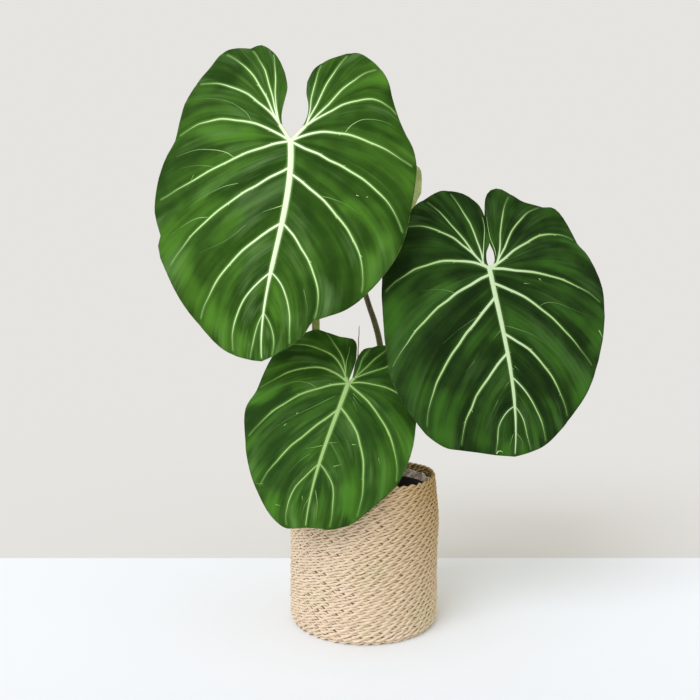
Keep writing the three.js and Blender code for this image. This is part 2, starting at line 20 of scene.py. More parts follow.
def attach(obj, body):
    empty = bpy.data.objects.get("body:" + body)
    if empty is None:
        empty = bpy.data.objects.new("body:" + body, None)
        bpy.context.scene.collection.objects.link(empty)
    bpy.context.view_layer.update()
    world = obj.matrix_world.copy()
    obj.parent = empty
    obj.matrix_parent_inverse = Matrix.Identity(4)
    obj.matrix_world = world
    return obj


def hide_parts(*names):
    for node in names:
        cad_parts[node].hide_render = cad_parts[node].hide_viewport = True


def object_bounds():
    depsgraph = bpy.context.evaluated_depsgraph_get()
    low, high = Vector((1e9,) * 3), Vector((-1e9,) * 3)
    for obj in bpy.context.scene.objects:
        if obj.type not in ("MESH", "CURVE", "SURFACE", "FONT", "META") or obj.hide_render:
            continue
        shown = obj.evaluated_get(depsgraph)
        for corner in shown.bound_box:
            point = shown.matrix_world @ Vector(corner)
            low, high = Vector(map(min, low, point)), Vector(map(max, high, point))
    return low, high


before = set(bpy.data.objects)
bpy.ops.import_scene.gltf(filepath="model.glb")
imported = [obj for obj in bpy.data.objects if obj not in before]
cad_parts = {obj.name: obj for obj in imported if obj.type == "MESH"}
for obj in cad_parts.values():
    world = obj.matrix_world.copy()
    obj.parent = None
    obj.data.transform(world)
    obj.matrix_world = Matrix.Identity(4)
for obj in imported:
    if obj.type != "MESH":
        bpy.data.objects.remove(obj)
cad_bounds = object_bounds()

log = logging.getLogger("plant")

MM = 0.001
BODY = "root"
Rgb = tuple[float, float, float]
Point = tuple[float, ...]
Numbers = np.ndarray | float
Faces = list[tuple[int, ...]]
Curve = Callable[[np.ndarray], np.ndarray]
Material = bpy.types.Material
Socket = bpy.types.NodeSocket
FORK = math.inf  # root height of a vein that starts at the fork of its half
SPAN_STEPS = 40  # points that a centripetal curve is worked out at, between two of its own
EASED = {"interpolation_type": "SMOOTHSTEP", "clamp": True}  # settings of a Map Range node


class Slot(Enum):
    """The record's material slots."""

    CORD = "woven_cord"
    FILM = "liner_film"
    POT = "pot_plastic"
    MIX = "potting_mix"
    BARK = "rhizome_bark"
    SHEATH = "dried_sheath"
    GREEN = "leaf_green"
    RIBS = "leaf_ribs"
    PETIOLE = "petiole_green"


# ---- Shading ------------------------------------------------------------------------------------------


def linear(colour: Rgb) -> tuple[float, ...]:
    """Turns a display colour of 0 to 255 into the linear one that a shader takes."""
    share = np.array(colour) / 255
    return (*np.where(share <= 0.04045, share / 12.92, ((share + 0.055) / 1.055) ** 2.4), 1.0)


def display(share: float) -> float:
    """Turns a linear channel into a display channel of 0 to 255."""
    return 255 * (share * 12.92 if share <= 0.0031308 else 1.055 * share ** (1 / 2.4) - 0.055)


class Signal:
    """A number that varies over a surface. Python's operators add the Math nodes that work it out."""

    def __init__(self, recipe: "Recipe", socket: Socket) -> None:
        """Keeps the socket and the recipe that it belongs to."""
        self.recipe = recipe
        self.socket = socket

    def _math(self, operation: str, *terms: "Signal | float") -> "Signal":
        """Adds a Math node on the terms, in order."""
        made = self.recipe.node("ShaderNodeMath", {"operation": operation}, dict(enumerate(terms)))
        return Signal(self.recipe, made.outputs[0])

    def __add__(self, other: "Signal | float") -> "Signal":
        """Adds."""
        return self._math("ADD", self, other)

    __radd__ = __add__

    def __sub__(self, other: "Signal | float") -> "Signal":
        """Subtracts."""
        return self._math("SUBTRACT", self, other)

    def __rsub__(self, other: "Signal | float") -> "Signal":
        """Subtracts from the number on the left."""
        return self._math("SUBTRACT", other, self)

    def __mul__(self, other: "Signal | float") -> "Signal":
        """Multiplies."""
        return self._math("MULTIPLY", self, other)

    __rmul__ = __mul__

    def __pow__(self, power: float) -> "Signal":
        """Raises to a power."""
        return self._math("POWER", self, power)

    def between(self, low: float, high: float) -> "Signal":
        """Runs smoothly from 0 at low to 1 at high."""
        inputs = {"Value": self, "From Min": low, "From Max": high}
        return Signal(self.recipe, self.recipe.node("ShaderNodeMapRange", EASED, inputs).outputs[0])


class Recipe:
    """One material and its nodes."""

    def __init__(self, name: str, **constants: float | tuple[float, ...]) -> None:
        """Starts a material with one Principled shader.

        Args:
            name: name of the material.
            constants: values of the shader's sockets, with underscores for spaces.
        """
        self.material = bpy.data.materials.new(name)
        self.material.use_nodes = True
        self.tree = self.material.node_tree
        self.tree.nodes.clear()
        self.shader = self.node("ShaderNodeBsdfPrincipled")
        for socket, value in constants.items():
            self.shader.inputs[socket.replace("_", " ")].default_value = value
        self.node("ShaderNodeOutputMaterial", inputs={"Surface": self.shader.outputs[0]})

    def node(
        self, kind: str, settings: dict | None = None, inputs: dict | None = None
    ) -> bpy.types.ShaderNode:
        """Adds a node.

        Args:
            kind: the node's type.
            settings: its own properties, which are set first.
            inputs: a value, signal or socket for each socket, by its name or number.

        Returns:
            The node.
        """
        made = self.tree.nodes.new(kind)
        for name, value in (settings or {}).items():
            setattr(made, name, value)
        for key, value in (inputs or {}).items():
            source = value.socket if isinstance(value, Signal) else value
            if isinstance(source, Socket):
                self.tree.links.new(source, made.inputs[key])
            else:
                made.inputs[key].default_value = source
        return made

    def number(self, name: str) -> Signal:
        """Reads a number that the mesh stores at its points."""
        return Signal(self, self.node("ShaderNodeAttribute", {"attribute_name": name}).outputs["Fac"])

    def vector(self, name: str) -> Socket:
        """Reads a vector that the mesh stores at its points."""
        return self.node("ShaderNodeAttribute", {"attribute_name": name}).outputs["Vector"]

    def place(self) -> Socket:
        """Gives the place in the object's own space, in metres."""
        return self.node("ShaderNodeTexCoord").outputs["Object"]

    def scaled(self, vector: Socket, scale: Sequence[float]) -> Socket:
        """Multiplies a vector by a scale for each axis."""
        inputs = {0: vector, 1: tuple(scale)}
        return self.node("ShaderNodeVectorMath", {"operation": "MULTIPLY"}, inputs).outputs[0]

    def noise(self, vector: Socket, scale: float, detail: float = 2.0) -> Signal:
        """Gives fractal noise around 0.5."""
        inputs = {"Vector": vector, "Scale": scale, "Detail": detail}
        return Signal(self, self.node("ShaderNodeTexNoise", inputs=inputs).outputs[0])

    def cells(self, vector: Socket, scale: float) -> Signal:
        """Gives the distance to the nearest of scattered points, as a share of their spacing."""
        inputs = {"Vector": vector, "Scale": scale}
        return Signal(self, self.node("ShaderNodeTexVoronoi", inputs=inputs).outputs["Distance"])

    def mix(self, share: Signal | float, low: Rgb | Socket, high: Rgb | Socket) -> Socket:
        """Mixes two colours, from low at share 0 to high at share 1."""
        low, high = (c if isinstance(c, Socket) else linear(c) for c in (low, high))
        return self.node("ShaderNodeMix", {"data_type": "RGBA"}, {0: share, 6: low, 7: high}).outputs[2]

    def roughness(self, value: Signal) -> None:
        """Links a varying roughness."""
        self.tree.links.new(value.socket, self.shader.inputs["Roughness"])

    def finish(self, colour: Socket, height: Signal | None = None, depth: float = 0.1) -> Material:
        """Links the colour and the relief to the shader.

        Args:
            colour: socket for Base Color.
            height: relief between 0 and 1.
            depth: depth of that relief, in millimetres.

        Returns:
            The finished material.
        """
        self.tree.links.new(colour, self.shader.inputs["Base Color"])
        if height is not None:
            bump = self.node("ShaderNodeBump", inputs={"Height": height, "Distance": depth * MM})
            self.tree.links.new(bump.outputs[0], self.shader.inputs["Normal"])
        return self.material


# ---- Finishes -----------------------------------------------------------------------------------------


@dataclass(frozen=True)
class CordFinish:
    """Twisted dry grass: straw-coloured fibres that run along each strand."""

    straw: Rgb = (244, 225, 200)
    tan: Rgb = (222, 199, 168)
    green: Rgb = (218, 208, 168)
    brown: Rgb = (206, 176, 144)
    gold: Rgb = (180, 147, 82)
    dark: Rgb = (128, 96, 66)

    def material(self) -> Material:
        """Makes the material.

        Returns:
            The material, which reads the mesh's fibre coordinates and its golden tone, which is partly
            painted shade.
        """
        recipe = Recipe("woven_cord", Roughness=0.9, Specular_IOR_Level=0.1)
        fibre = recipe.vector("fibre")
        fine = recipe.noise(recipe.scaled(fibre, (0.05, 1.0, 1.0)), 5.0, 3.0)
        stroke = recipe.noise(recipe.scaled(fibre, (0.07, 0.3, 1.0)), 1.0)
        patch = recipe.noise(recipe.place(), 20.0)
        colour = recipe.mix(fine.between(0.34, 0.6), self.tan, self.straw)
        colour = recipe.mix(stroke.between(0.52, 0.74) * 0.6, colour, self.brown)
        colour = recipe.mix(patch.between(0.48, 0.7) * 0.4, colour, self.green)
        # golden and darker at the upper right: partly the grass's own tone, partly painted shade on the side
        # away from the light
        colour = recipe.mix(recipe.number("weather") * 0.85, colour, self.gold)
        colour = recipe.mix(fine.between(0.32, 0.23) * 0.7, colour, self.dark)
        return recipe.finish(colour, fine, 0.4)


@dataclass(frozen=True)
class PlainFinish:
    """One stuff of two close colours, mottled at one scale, with a grain."""

    light: Rgb
    dark: Rgb
    roughness: float
    patch: float  # size of the mottling, in millimetres
    grain: float
    grain_depth: float
    specular: float = 0.4

    def material(self, name: str) -> Material:
        """Makes the material.

        Args:
            name: the material's name.

        Returns:
            The material.
        """
        recipe = Recipe(name, Specular_IOR_Level=self.specular)
        patch = recipe.noise(recipe.place(), 1 / (self.patch * MM), 3.0)
        grain = recipe.noise(recipe.place(), 1 / (self.grain * MM), 3.0)
        colour = recipe.mix((patch * 0.7 + grain * 0.3).between(0.4, 0.6), self.dark, self.light)
        recipe.roughness((patch - 0.5) * 0.2 + self.roughness)
        return recipe.finish(colour, grain, self.grain_depth)


@dataclass(frozen=True)
class StemFinish:
    """A stalk: streaks that run up it over a mottled ground, with scattered pale dots."""

    light: Rgb = (158, 168, 96)
    olive: Rgb = (116, 128, 66)
    brown: Rgb = (104, 92, 58)
    dots: Rgb = (172, 170, 126)

    def material(self, name: str) -> Material:
        """Makes the material.

        Args:
            name: the material's name.

        Returns:
            The material.
        """
        recipe = Recipe(name, Roughness=0.5, Specular_IOR_Level=0.3)
        place = recipe.place()
        streak = recipe.noise(recipe.scaled(place, (1.0, 1.0, 0.06)), 900.0, 3.0)
        patch = recipe.noise(recipe.scaled(place, (1.0, 1.0, 0.4)), 60.0)
        dot = recipe.cells(recipe.scaled(place, (1.0, 1.0, 0.5)), 420.0)
        colour = recipe.mix(streak.between(0.35, 0.65), self.olive, self.light)
        colour = recipe.mix(patch.between(0.45, 0.65) * 0.8, colour, self.brown)
        colour = recipe.mix(dot.between(0.16, 0.08) * 0.7, colour, self.dots)
        return recipe.finish(colour, streak, 0.25)


@dataclass(frozen=True)
class LeafFinish:
    """A velvety blade: soft bands of green between pale ribs above, pale olive below."""

    deep: Rgb
    mid: Rgb
    bright: Rgb
    haze: Rgb  # where the nap catches the light
    glow: Rgb  # beside the ribs
    margin: Rgb
    rim_light: Rgb
    rib: Rgb
    rib_end: Rgb
    faint: Rgb  # of the finest veins
    under: Rgb = (186, 196, 134)
    under_deep: Rgb = (148, 162, 100)
    under_rib: Rgb = (204, 198, 152)

    def blade(self, name: str) -> Material:
        """Makes the blade's material.

        Args:
            name: the material's name.

        Returns:
            The material, which reads the mesh's streak, wash, edge, inset and side.
        """
        recipe = Recipe(name, Roughness=0.6, Specular_IOR_Level=0.05)
        streak = recipe.vector("streak")
        edge = recipe.number("edge")
        wash = recipe.number("wash")
        fine = recipe.noise(recipe.scaled(streak, (13.0, 1.7, 1.0)), 1.0, 3.0)
        wide = recipe.noise(recipe.scaled(streak, (3.0, 1.4, 1.0)), 1.0)
        nap = recipe.noise(recipe.scaled(streak, (2.1, 1.9, 2.7)), 1.0)
        patch = recipe.noise(recipe.place(), 24.0)
        blotch = recipe.noise(recipe.place(), 75.0, 3.0)
        grain = recipe.noise(recipe.place(), 650.0, 3.0)

        # the washes add painted highlight and painted shade over the leaf's own random tone
        tone = (0.12 * fine + 0.5 * wide + 0.24 * patch + 0.14 * blotch + 0.12 * wash).between(0.34, 0.66)
        upper = recipe.mix(tone, self.deep, self.mid)
        # brighter green away from the ribs: partly random tone, partly painted highlight where the washes run
        # high
        sunny = (0.35 * patch + 0.5 * wide + 0.15 * fine + 0.22 * wash).between(0.46, 0.76)
        upper = recipe.mix(sunny * edge.between(0.5, 9.0), upper, self.bright)
        upper = recipe.mix((0.75 * nap + 0.25 * fine).between(0.5, 0.76) * 0.6, upper, self.haze)
        upper = recipe.mix(edge.between(2.6, 0.0) ** 1.6 * 0.5, upper, self.glow)
        rim = recipe.mix(blotch.between(0.46, 0.56), self.margin, self.rim_light)
        upper = recipe.mix(recipe.number("inset").between(0.9, 0.3) * 0.8, upper, rim)

        lower = recipe.mix(tone, self.under_deep, self.under)
        lower = recipe.mix(edge.between(1.2, -0.3) * 0.6, lower, self.under_rib)
        colour = recipe.mix(recipe.number("side"), lower, upper)
        return recipe.finish(colour, 0.5 * fine + 0.5 * grain, 0.2)

    def ribs(self, name: str) -> Material:
        """Makes the ribs' material.

        Args:
            name: the material's name.

        Returns:
            The material, which reads the mesh's age, from 0 at a rib's root, and its side.
        """
        recipe = Recipe(name, Roughness=0.55, Specular_IOR_Level=0.2)
        grain = recipe.noise(recipe.place(), 700.0, 3.0)
        age = recipe.number("age") + (grain - 0.5) * 0.2
        upper = recipe.mix(age.between(0.0, 1.0), self.rib, self.rib_end)
        upper = recipe.mix(age.between(0.9, 2.0), upper, self.faint)
        lower = recipe.mix(age.between(0.0, 1.0), self.under_rib, self.under)
        return recipe.finish(recipe.mix(recipe.number("side"), lower, upper), grain, 0.12)


# ---- Mesh making --------------------------------------------------------------------------------------


@dataclass
class Form:
    """Points, faces and point values that are gathered into one mesh."""

    points: list[np.ndarray] = field(default_factory=list)
    faces: Faces = field(default_factory=list)
    values: dict[str, list[np.ndarray]] = field(default_factory=dict)
    count: int = 0

    def add(self, points: np.ndarray, faces: Faces, **values: np.ndarray) -> None:
        """Adds a body.

        Args:
            points: its places in millimetres, one row each.
            faces: its faces, by rows of points.
            values: numbers or vectors for its points, the same names for every body.
        """
        self.faces.extend(tuple(self.count + corner for corner in face) for face in faces)
        self.points.append(points)
        for name, value in values.items():
            self.values.setdefault(name, []).append(value)
        self.count += len(points)

    def piece(
        self, name: str, material: Material, replaces: Sequence[str] = ()
    ) -> bpy.types.Object:
        """Makes the scene's object of everything that was added, held inside the plain model's box.

        Args:
            name: the piece's name.
            material: its finish.
            replaces: the plain solids that it stands for.

        Returns:
            The object, which rides on the plant's one body.
        """
        mesh = bpy.data.meshes.new(name)
        places = np.clip(np.concatenate(self.points) * MM, *np.array(cad_bounds))
        mesh.from_pydata(places.tolist(), [], self.faces)
        mesh.shade_smooth()
        for key, parts in self.values.items():
            data = np.concatenate(parts).astype(np.float32)
            kind, field_name = ("FLOAT", "value") if data.ndim == 1 else ("FLOAT_VECTOR", "vector")
            mesh.attributes.new(key, kind, "POINT").data.foreach_set(field_name, data.ravel())
        mesh.materials.append(material)
        made = placed(name, mesh)
        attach(made, BODY)
        if replaces:
            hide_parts(*replaces)
        log.info("%s: %d points, %d faces", name, self.count, len(self.faces))
        return made


def placed(name: str, data: bpy.types.ID) -> bpy.types.Object:
    """Puts a new object into the scene.

    Args:
        name: its name.
        data: its mesh, camera or light.

    Returns:
        The object.
    """
    made = bpy.data.objects.new(name, data)
    bpy.context.scene.collection.objects.link(made)
    return made


def ring_faces(rings: int, size: int, closed: bool = False) -> Faces:
    """Joins rings of equal size into a skin.

    Args:
        rings: how many rings there are.
        size: points in each.
        closed: whether the last ring joins the first. An open skin gets a flat face at both ends.

    Returns:
        The faces, by row of point.
    """
    faces: Faces = []
    for r in range(rings if closed else rings - 1):
        here, there = r * size, ((r + 1) % rings) * size
        for i in range(size):
            j = (i + 1) % size
            faces.append((here + i, here + j, there + j, there + i))
    if not closed:
        last = (rings - 1) * size
        faces.append(tuple(range(size))[::-1])
        faces.append(tuple(last + i for i in range(size)))
    return faces


def bridge(
    start: np.ndarray, end: np.ndarray, leave: np.ndarray, arrive: np.ndarray, w: np.ndarray
) -> np.ndarray:
    """Runs a cubic curve from one point to the next.

    Args:
        start: the first point.
        end: the next one.
        leave: slope at the first.
        arrive: slope at the next.
        w: places on the curve, from 0 to 1, in a column.

    Returns:
        One row for each place.
    """
    cubic = 2 * start - 2 * end + leave + arrive
    square = -3 * start + 3 * end - 2 * leave - arrive
    return cubic * w**3 + square * w**2 + leave * w + start


def spline(points: Sequence[Point], t: np.ndarray) -> np.ndarray:
    """Runs a uniform Catmull-Rom curve through points.

    Args:
        points: the points.
        t: places on the curve, from 0 to 1.

    Returns:
        One row for each place.
    """
    knots = np.array(points, float)
    last = len(knots) - 1
    place = np.clip(t, 0, 1) * last
    i = np.minimum(place.astype(int), last - 1)
    w = (place - i)[:, None]
    start, end = knots[i], knots[i + 1]
    leave = (end - knots[np.maximum(i - 1, 0)]) / 2
    arrive = (knots[np.minimum(i + 2, last)] - start) / 2
    return bridge(start, end, leave, arrive, w)


def lengths(line: np.ndarray) -> np.ndarray:
    """Gives the distance along a line at each of its points."""
    return np.concatenate([[0.0], np.cumsum(np.linalg.norm(np.diff(line, axis=0), axis=1))])


def even(line: np.ndarray, count: int) -> np.ndarray:
    """Places points at equal steps along a line.

    Args:
        line: the line's points.
        count: how many there are to be.

    Returns:
        One row for each.
    """
    along = lengths(line)
    steps = np.linspace(0, along[-1], count)
    return np.stack([np.interp(steps, along, line[:, k]) for k in range(line.shape[1])], axis=1)


def route(points: Sequence[Point], count: int) -> np.ndarray:
    """Runs a centripetal curve through points.

    Args:
        points: the points.
        count: how many points the curve gets, at equal steps.

    Returns:
        One row for each of them.
    """
    knots = np.array(points, float)
    knots = np.vstack([2 * knots[0] - knots[1], knots, 2 * knots[-1] - knots[-2]])
    w = np.linspace(0, 1, SPAN_STEPS)[:, None]
    parts = []
    for p0, p1, p2, p3 in zip(knots, knots[1:], knots[2:], knots[3:]):
        d0, d1, d2 = (math.sqrt(np.linalg.norm(b - a)) for a, b in ((p0, p1), (p1, p2), (p2, p3)))
        leave = ((p1 - p0) / d0 - (p2 - p0) / (d0 + d1) + (p2 - p1) / d1) * d1
        arrive = ((p2 - p1) / d1 - (p3 - p1) / (d1 + d2) + (p3 - p2) / d2) * d1
        parts.append(bridge(p1, p2, leave, arrive, w)[:-1])
    parts.append(knots[-2:-1])
    return even(np.concatenate(parts), count)


def circle(sides: int) -> np.ndarray:
    """Gives the angles of places spread evenly round a circle."""
    return np.arange(sides) * 2 * math.pi / sides


def polar(radius: Numbers, angle: Numbers, height: Numbers) -> np.ndarray:
    """Places points by their distance from the upright axis, their angle round it and their height."""
    return np.stack(np.broadcast_arrays(radius * np.cos(angle), radius * np.sin(angle), height), axis=-1)


def waves(angle: np.ndarray, *terms: tuple[float, int, float]) -> np.ndarray:
    """Adds up waves round a circle, each given by its height, how many go round, and its start."""
    return sum(height * np.sin(count * angle + start) for height, count, start in terms)


def facing(angle: np.ndarray, towards: float = 0.0) -> np.ndarray:
    """Gives 1 at the angle towards, and less away from it, down to 0 at a quarter turn."""
    return np.clip(np.cos(angle - towards), 0, 1)


def unit(vectors: np.ndarray) -> np.ndarray:
    """Scales vectors to length 1."""
    return vectors / np.maximum(np.linalg.norm(vectors, axis=-1, keepdims=True), 1e-12)


def lerp(first: Numbers, second: Numbers, share: Numbers) -> Numbers:
    """Mixes linearly."""
    return first + (second - first) * share


def tube(line: np.ndarray, radii: np.ndarray) -> np.ndarray:
    """Places the points of a tube round a line.

    Args:
        line: the middle, one row a ring.
        radii: the radius of each ring's points, one row a ring and one column a side.

    Returns:
        The points, ring after ring.
    """
    ahead = unit(np.gradient(line, axis=0))
    turn = circle(radii.shape[1])
    normal = unit(np.cross(ahead[0], (0.0, 1.0, 0.3)))
    rings = []
    for centre, direction, radius in zip(line, ahead, radii):
        normal = unit(normal - direction * np.dot(normal, direction))
        other = np.cross(direction, normal)
        spread = np.cos(turn)[:, None] * normal + np.sin(turn)[:, None] * other
        rings.append(centre + spread * radius[:, None])
    return np.concatenate(rings)


def revolved(radii: np.ndarray, heights: np.ndarray) -> tuple[np.ndarray, Faces]:
    """Turns a profile round the upright axis.

    Args:
        radii: radius at each step of the profile, which starts and ends on the axis, and each side.
        heights: height there.

    Returns:
        The points and faces of the closed skin.
    """
    steps, sides = radii.shape
    rings = polar(radii, circle(sides), heights)[1:-1]
    poles = np.array([[0, 0, heights[0].mean()], [0, 0, heights[-1].mean()]])
    points = np.concatenate([rings.reshape(-1, 3), poles])
    faces = ring_faces(steps - 2, sides)[:-2]
    first, last = len(points) - 2, len(points) - 1
    top = (steps - 3) * sides
    for i in range(sides):
        j = (i + 1) % sides
        faces.append((first, j, i))
        faces.append((last, top + i, top + j))
    return points, faces


def bumps(points: np.ndarray, size: float, seed: float) -> np.ndarray:
    """Gives smooth noise from about -1 to 1.

    Args:
        points: the places, in millimetres.
        size: size of the lumps.
        seed: shift that makes one noise differ from another.

    Returns:
        One number for each point.
    """
    shift = Vector((seed, seed * 1.7, -seed))
    return np.array([noise.noise(Vector(p) / size + shift) for p in points.tolist()])


# ---- Leaves -------------------------------------------------------------------------------------------


class Side(Enum):
    """The halves of a blade."""

    LEFT = -1
    RIGHT = 1


@dataclass(frozen=True)
class Half:
    """One half of a blade: points [distance from the midline, height].

    A margin point where a side vein ends also has the height of the vein's root on the midrib, or FORK,
    and the points that the vein bends through at even steps.
    """

    fork: Point
    sinus: tuple[Point, ...]
    margin: tuple[Point, ...]


@dataclass(frozen=True)
class Petiole:
    """A stalk: the points that it runs through, and its radii at equal steps."""

    route: tuple[Point, ...]
    radii: tuple[float, ...]


@dataclass(frozen=True)
class Branch:
    """A thin pale side vein or scratch on the blade: points [to the right, height]."""

    points: tuple[Point, ...]
    half_width: float
    age: float  # 0 as pale as the ribs' ends, 1 as faint as the finest veins


@dataclass(frozen=True)
class Wash:
    """A soft streak of brighter green, or of deeper green where its strength is below 0: partly the leaf's
    own tone, partly painted highlight and painted shade.
    """

    points: tuple[Point, ...]
    reach: float
    strength: float


@dataclass(frozen=True)
class LeafShape:
    """Where a blade lies and how it is cut and bent, as in the plant's solids."""

    joint: Point
    turn: float
    tilt: float
    roll: float
    arch: float
    half_width: float
    droop: float
    length: float
    sway: Point
    ripple: float
    left: Half
    right: Half
    petiole: Petiole


@dataclass(frozen=True)
class Vein:
    """A curve that parts two sectors of a half."""

    root: float
    place: float  # where it meets the margin, as a share of the margin's points
    point: Curve


@dataclass(frozen=True)
class HalfCurves:
    """The margin of one half, and the curves that divide the half from the sinus to the tip."""

    rim: Curve
    veins: list[Vein]
    fork: np.ndarray


@dataclass(frozen=True)
class Rib:
    """A raised line on the blade, in its flat plane."""

    line: np.ndarray
    half_widths: np.ndarray
    age: tuple[float, float]
    bends: tuple[tuple[int, float], ...] = ()  # [row of the line, side] of each small bend


@dataclass
class Leaf:
    """One leaf: its blade, the ribs on both faces and the stalk."""

    name: str
    shape: LeafShape
    finish: LeafFinish
    seed: int
    branches: tuple[Branch, ...] = ()
    washes: tuple[Wash, ...] = ()
    stalk: StemFinish = StemFinish()
    midrib: tuple[Point, ...] = (  # [share of its length, half width]
        (0, 3.5), (0.35, 3.2), (0.42, 2.7), (0.58, 2.5), (0.65, 1.5), (0.8, 1.1), (1, 0.4),
    )
    rows: int = 44
    columns: int = 12
    station: float = 3.4  # step along the midrib
    thickness: float = 0.9
    rim_thickness: float = 0.5
    rim_width: float = 5.0  # over which the blade thins out
    rim_steps: int = 260
    sinus_ease: float = 0.62
    puff: float = 0.075  # bulge between two veins, as a share of their distance
    puff_most: float = 3.2
    ripples: float = 5.5  # waves along the margin
    quilting: float = 0.7
    quilt_size: float = 13.0
    rib_step: float = 2.4
    rib_sink: float = 0.3
    rib_relief: float = 0.3  # height as a share of the half width
    rib_section: tuple[Point, ...] = (  # shares of the half width, the height and the sink
        (-0.85, 0, 1), (-1, 0, 0.15), (-0.72, 0.62, 0), (-0.28, 0.97, 0),
        (0.28, 0.97, 0), (0.72, 0.62, 0), (1, 0, 0.15), (0.85, 0, 1),
    )
    drop_from: float = 40.0  # height from which the ribs are laid down on the blade
    midrib_above: float = 3.0  # how far the midrib starts above the joint
    midrib_reach: float = 0.985
    vein_half: float = 1.35
    vein_end: float = 0.55
    vein_least: float = 0.45  # a vein thinner than this at its root is fainter too
    vein_fade: float = 0.3  # share of its length over which a vein thins out
    vein_reach: float = 0.95
    vein_steps: int = 70
    vein_above: float = 2.5  # how far a vein starts above its root, inside the midrib
    full_length: float = 130.0  # a vein as long as this is as thick as a vein gets
    fork_half: float = 2.0
    fork_steps: int = 12
    fork_start: float = 0.8  # share of the fork from which its veins run
    kink: float = 0.7
    kink_steps: Point = (12, 24)
    kink_calm: float = 15.0  # stretch at a vein's end over which its bends die away
    midrib_ticks: tuple[Point, ...] = ((0.3, 1), (0.37, 1), (0.47, 1), (0.52, -1), (0.55, 1))
    tick_share: float = 0.35  # share of the bends that get one
    tick_reach: float = 0.8  # share of a vein that they may start on
    tick_least: Point = (0.7, 1.2, 0.26, 0)  # lean, reach, half width, and a chance
    tick_most: Point = (1.3, 2.6, 0.4, 1)
    tick_end: float = 0.12  # half width at its end
    branch_step: float = 2.0
    branch_ages: Point = (0.8, 1.3)  # added to a branch's own age at its start and its end
    stem_sides: int = 18
    stem_rings: int = 90
    stem_flare: float = 0.25  # at its foot, as a share of its radius
    stem_wave: float = 0.06
    stem_rough: float = 0.25
    seat: float = 5.0  # how far below the joint the stalk ends, on the blade's back
    straight: float = 9.0  # its last stretch, square to the blade

    def __post_init__(self) -> None:
        """Works out the blade's own axes and its dividing curves."""
        turn, tilt, roll = (math.radians(a) for a in (self.shape.turn, self.shape.tilt, self.shape.roll))
        level = math.cos(tilt)
        self.normal = np.array([math.sin(turn) * level, -math.cos(turn) * level, math.sin(tilt)])
        up = unit(np.array([0.0, 0.0, 1.0]) - self.normal * self.normal[2])
        right = np.cross(up, self.normal)
        self.across = right * math.cos(roll) + up * math.sin(roll)
        self.upward = up * math.cos(roll) - right * math.sin(roll)
        self.curves = {side: self.half_curves(side) for side in Side}

    def bent(self, flat: np.ndarray, lift: Numbers) -> np.ndarray:
        """Places points of the flat blade on the bent one.

        Args:
            flat: one row [to the right, height] each.
            lift: height above the bent middle surface.

        Returns:
            The places.
        """
        shape = self.shape
        u, v = flat[:, 0], flat[:, 1]
        rise = lift - shape.arch * (u / shape.half_width) ** 2 - shape.droop * (v / shape.length) ** 2
        return (
            np.array(shape.joint)
            + u[:, None] * self.across
            + v[:, None] * self.upward
            + np.broadcast_to(rise, u.shape)[:, None] * self.normal
        )

    def midrib_at(self, height: Numbers) -> np.ndarray:
        """Finds the midrib's points.

        Args:
            height: heights on the flat blade.

        Returns:
            One row for each.
        """
        v = np.atleast_1d(np.asarray(height, float))
        t = -v / self.shape.length
        first, second, tip = self.shape.sway
        u = 3 * first * t * (1 - t) ** 2 + 3 * second * t * t * (1 - t) + tip * t**3
        return np.stack([u, v], axis=1)

    def half_curves(self, side: Side) -> HalfCurves:
        """Makes the curves that divide one half.

        Args:
            side: which half.

        Returns:
            Its margin, and its curves from the sinus edge to the midrib's last stretch.
        """
        half = self.shape.left if side is Side.LEFT else self.shape.right
        flip = np.array([side.value, 1.0])
        margin = [tuple(np.array(p[:2]) * flip) for p in half.margin]
        sinus = [tuple(np.array(p) * flip) for p in half.sinus]
        fork = np.array(half.fork) * flip
        veins = [Vein(0.0, 0.0, lambda b: spline(sinus, b**self.sinus_ease))]
        for i, (place, point) in enumerate(zip(margin, half.margin)):
            if len(point) == 2:
                continue
            start = fork if point[2] == FORK else self.midrib_at(point[2])[0]
            bends = np.reshape(point[3:], (-1, 2)) * flip
            curve = self.smooth_curve(np.vstack([start, bends, place]))
            veins.append(Vein(point[2], i / (len(margin) - 1), curve))
        root = veins[-1].root
        veins.append(Vein(root, 1.0, lambda b: self.midrib_at(lerp(root, -self.shape.length, b))))
        return HalfCurves(lambda t: spline(margin, t), veins, fork)

    @staticmethod
    def smooth_curve(points: np.ndarray) -> Curve:
        """Makes the polynomial curve through points.

        Args:
            points: the points, which it passes at even steps from 0 to 1.

        Returns:
            The curve.
        """
        count = len(points)
        terms = np.linalg.solve(np.vander(np.linspace(0, 1, count)), points)
        return lambda b: np.vander(b, count) @ terms

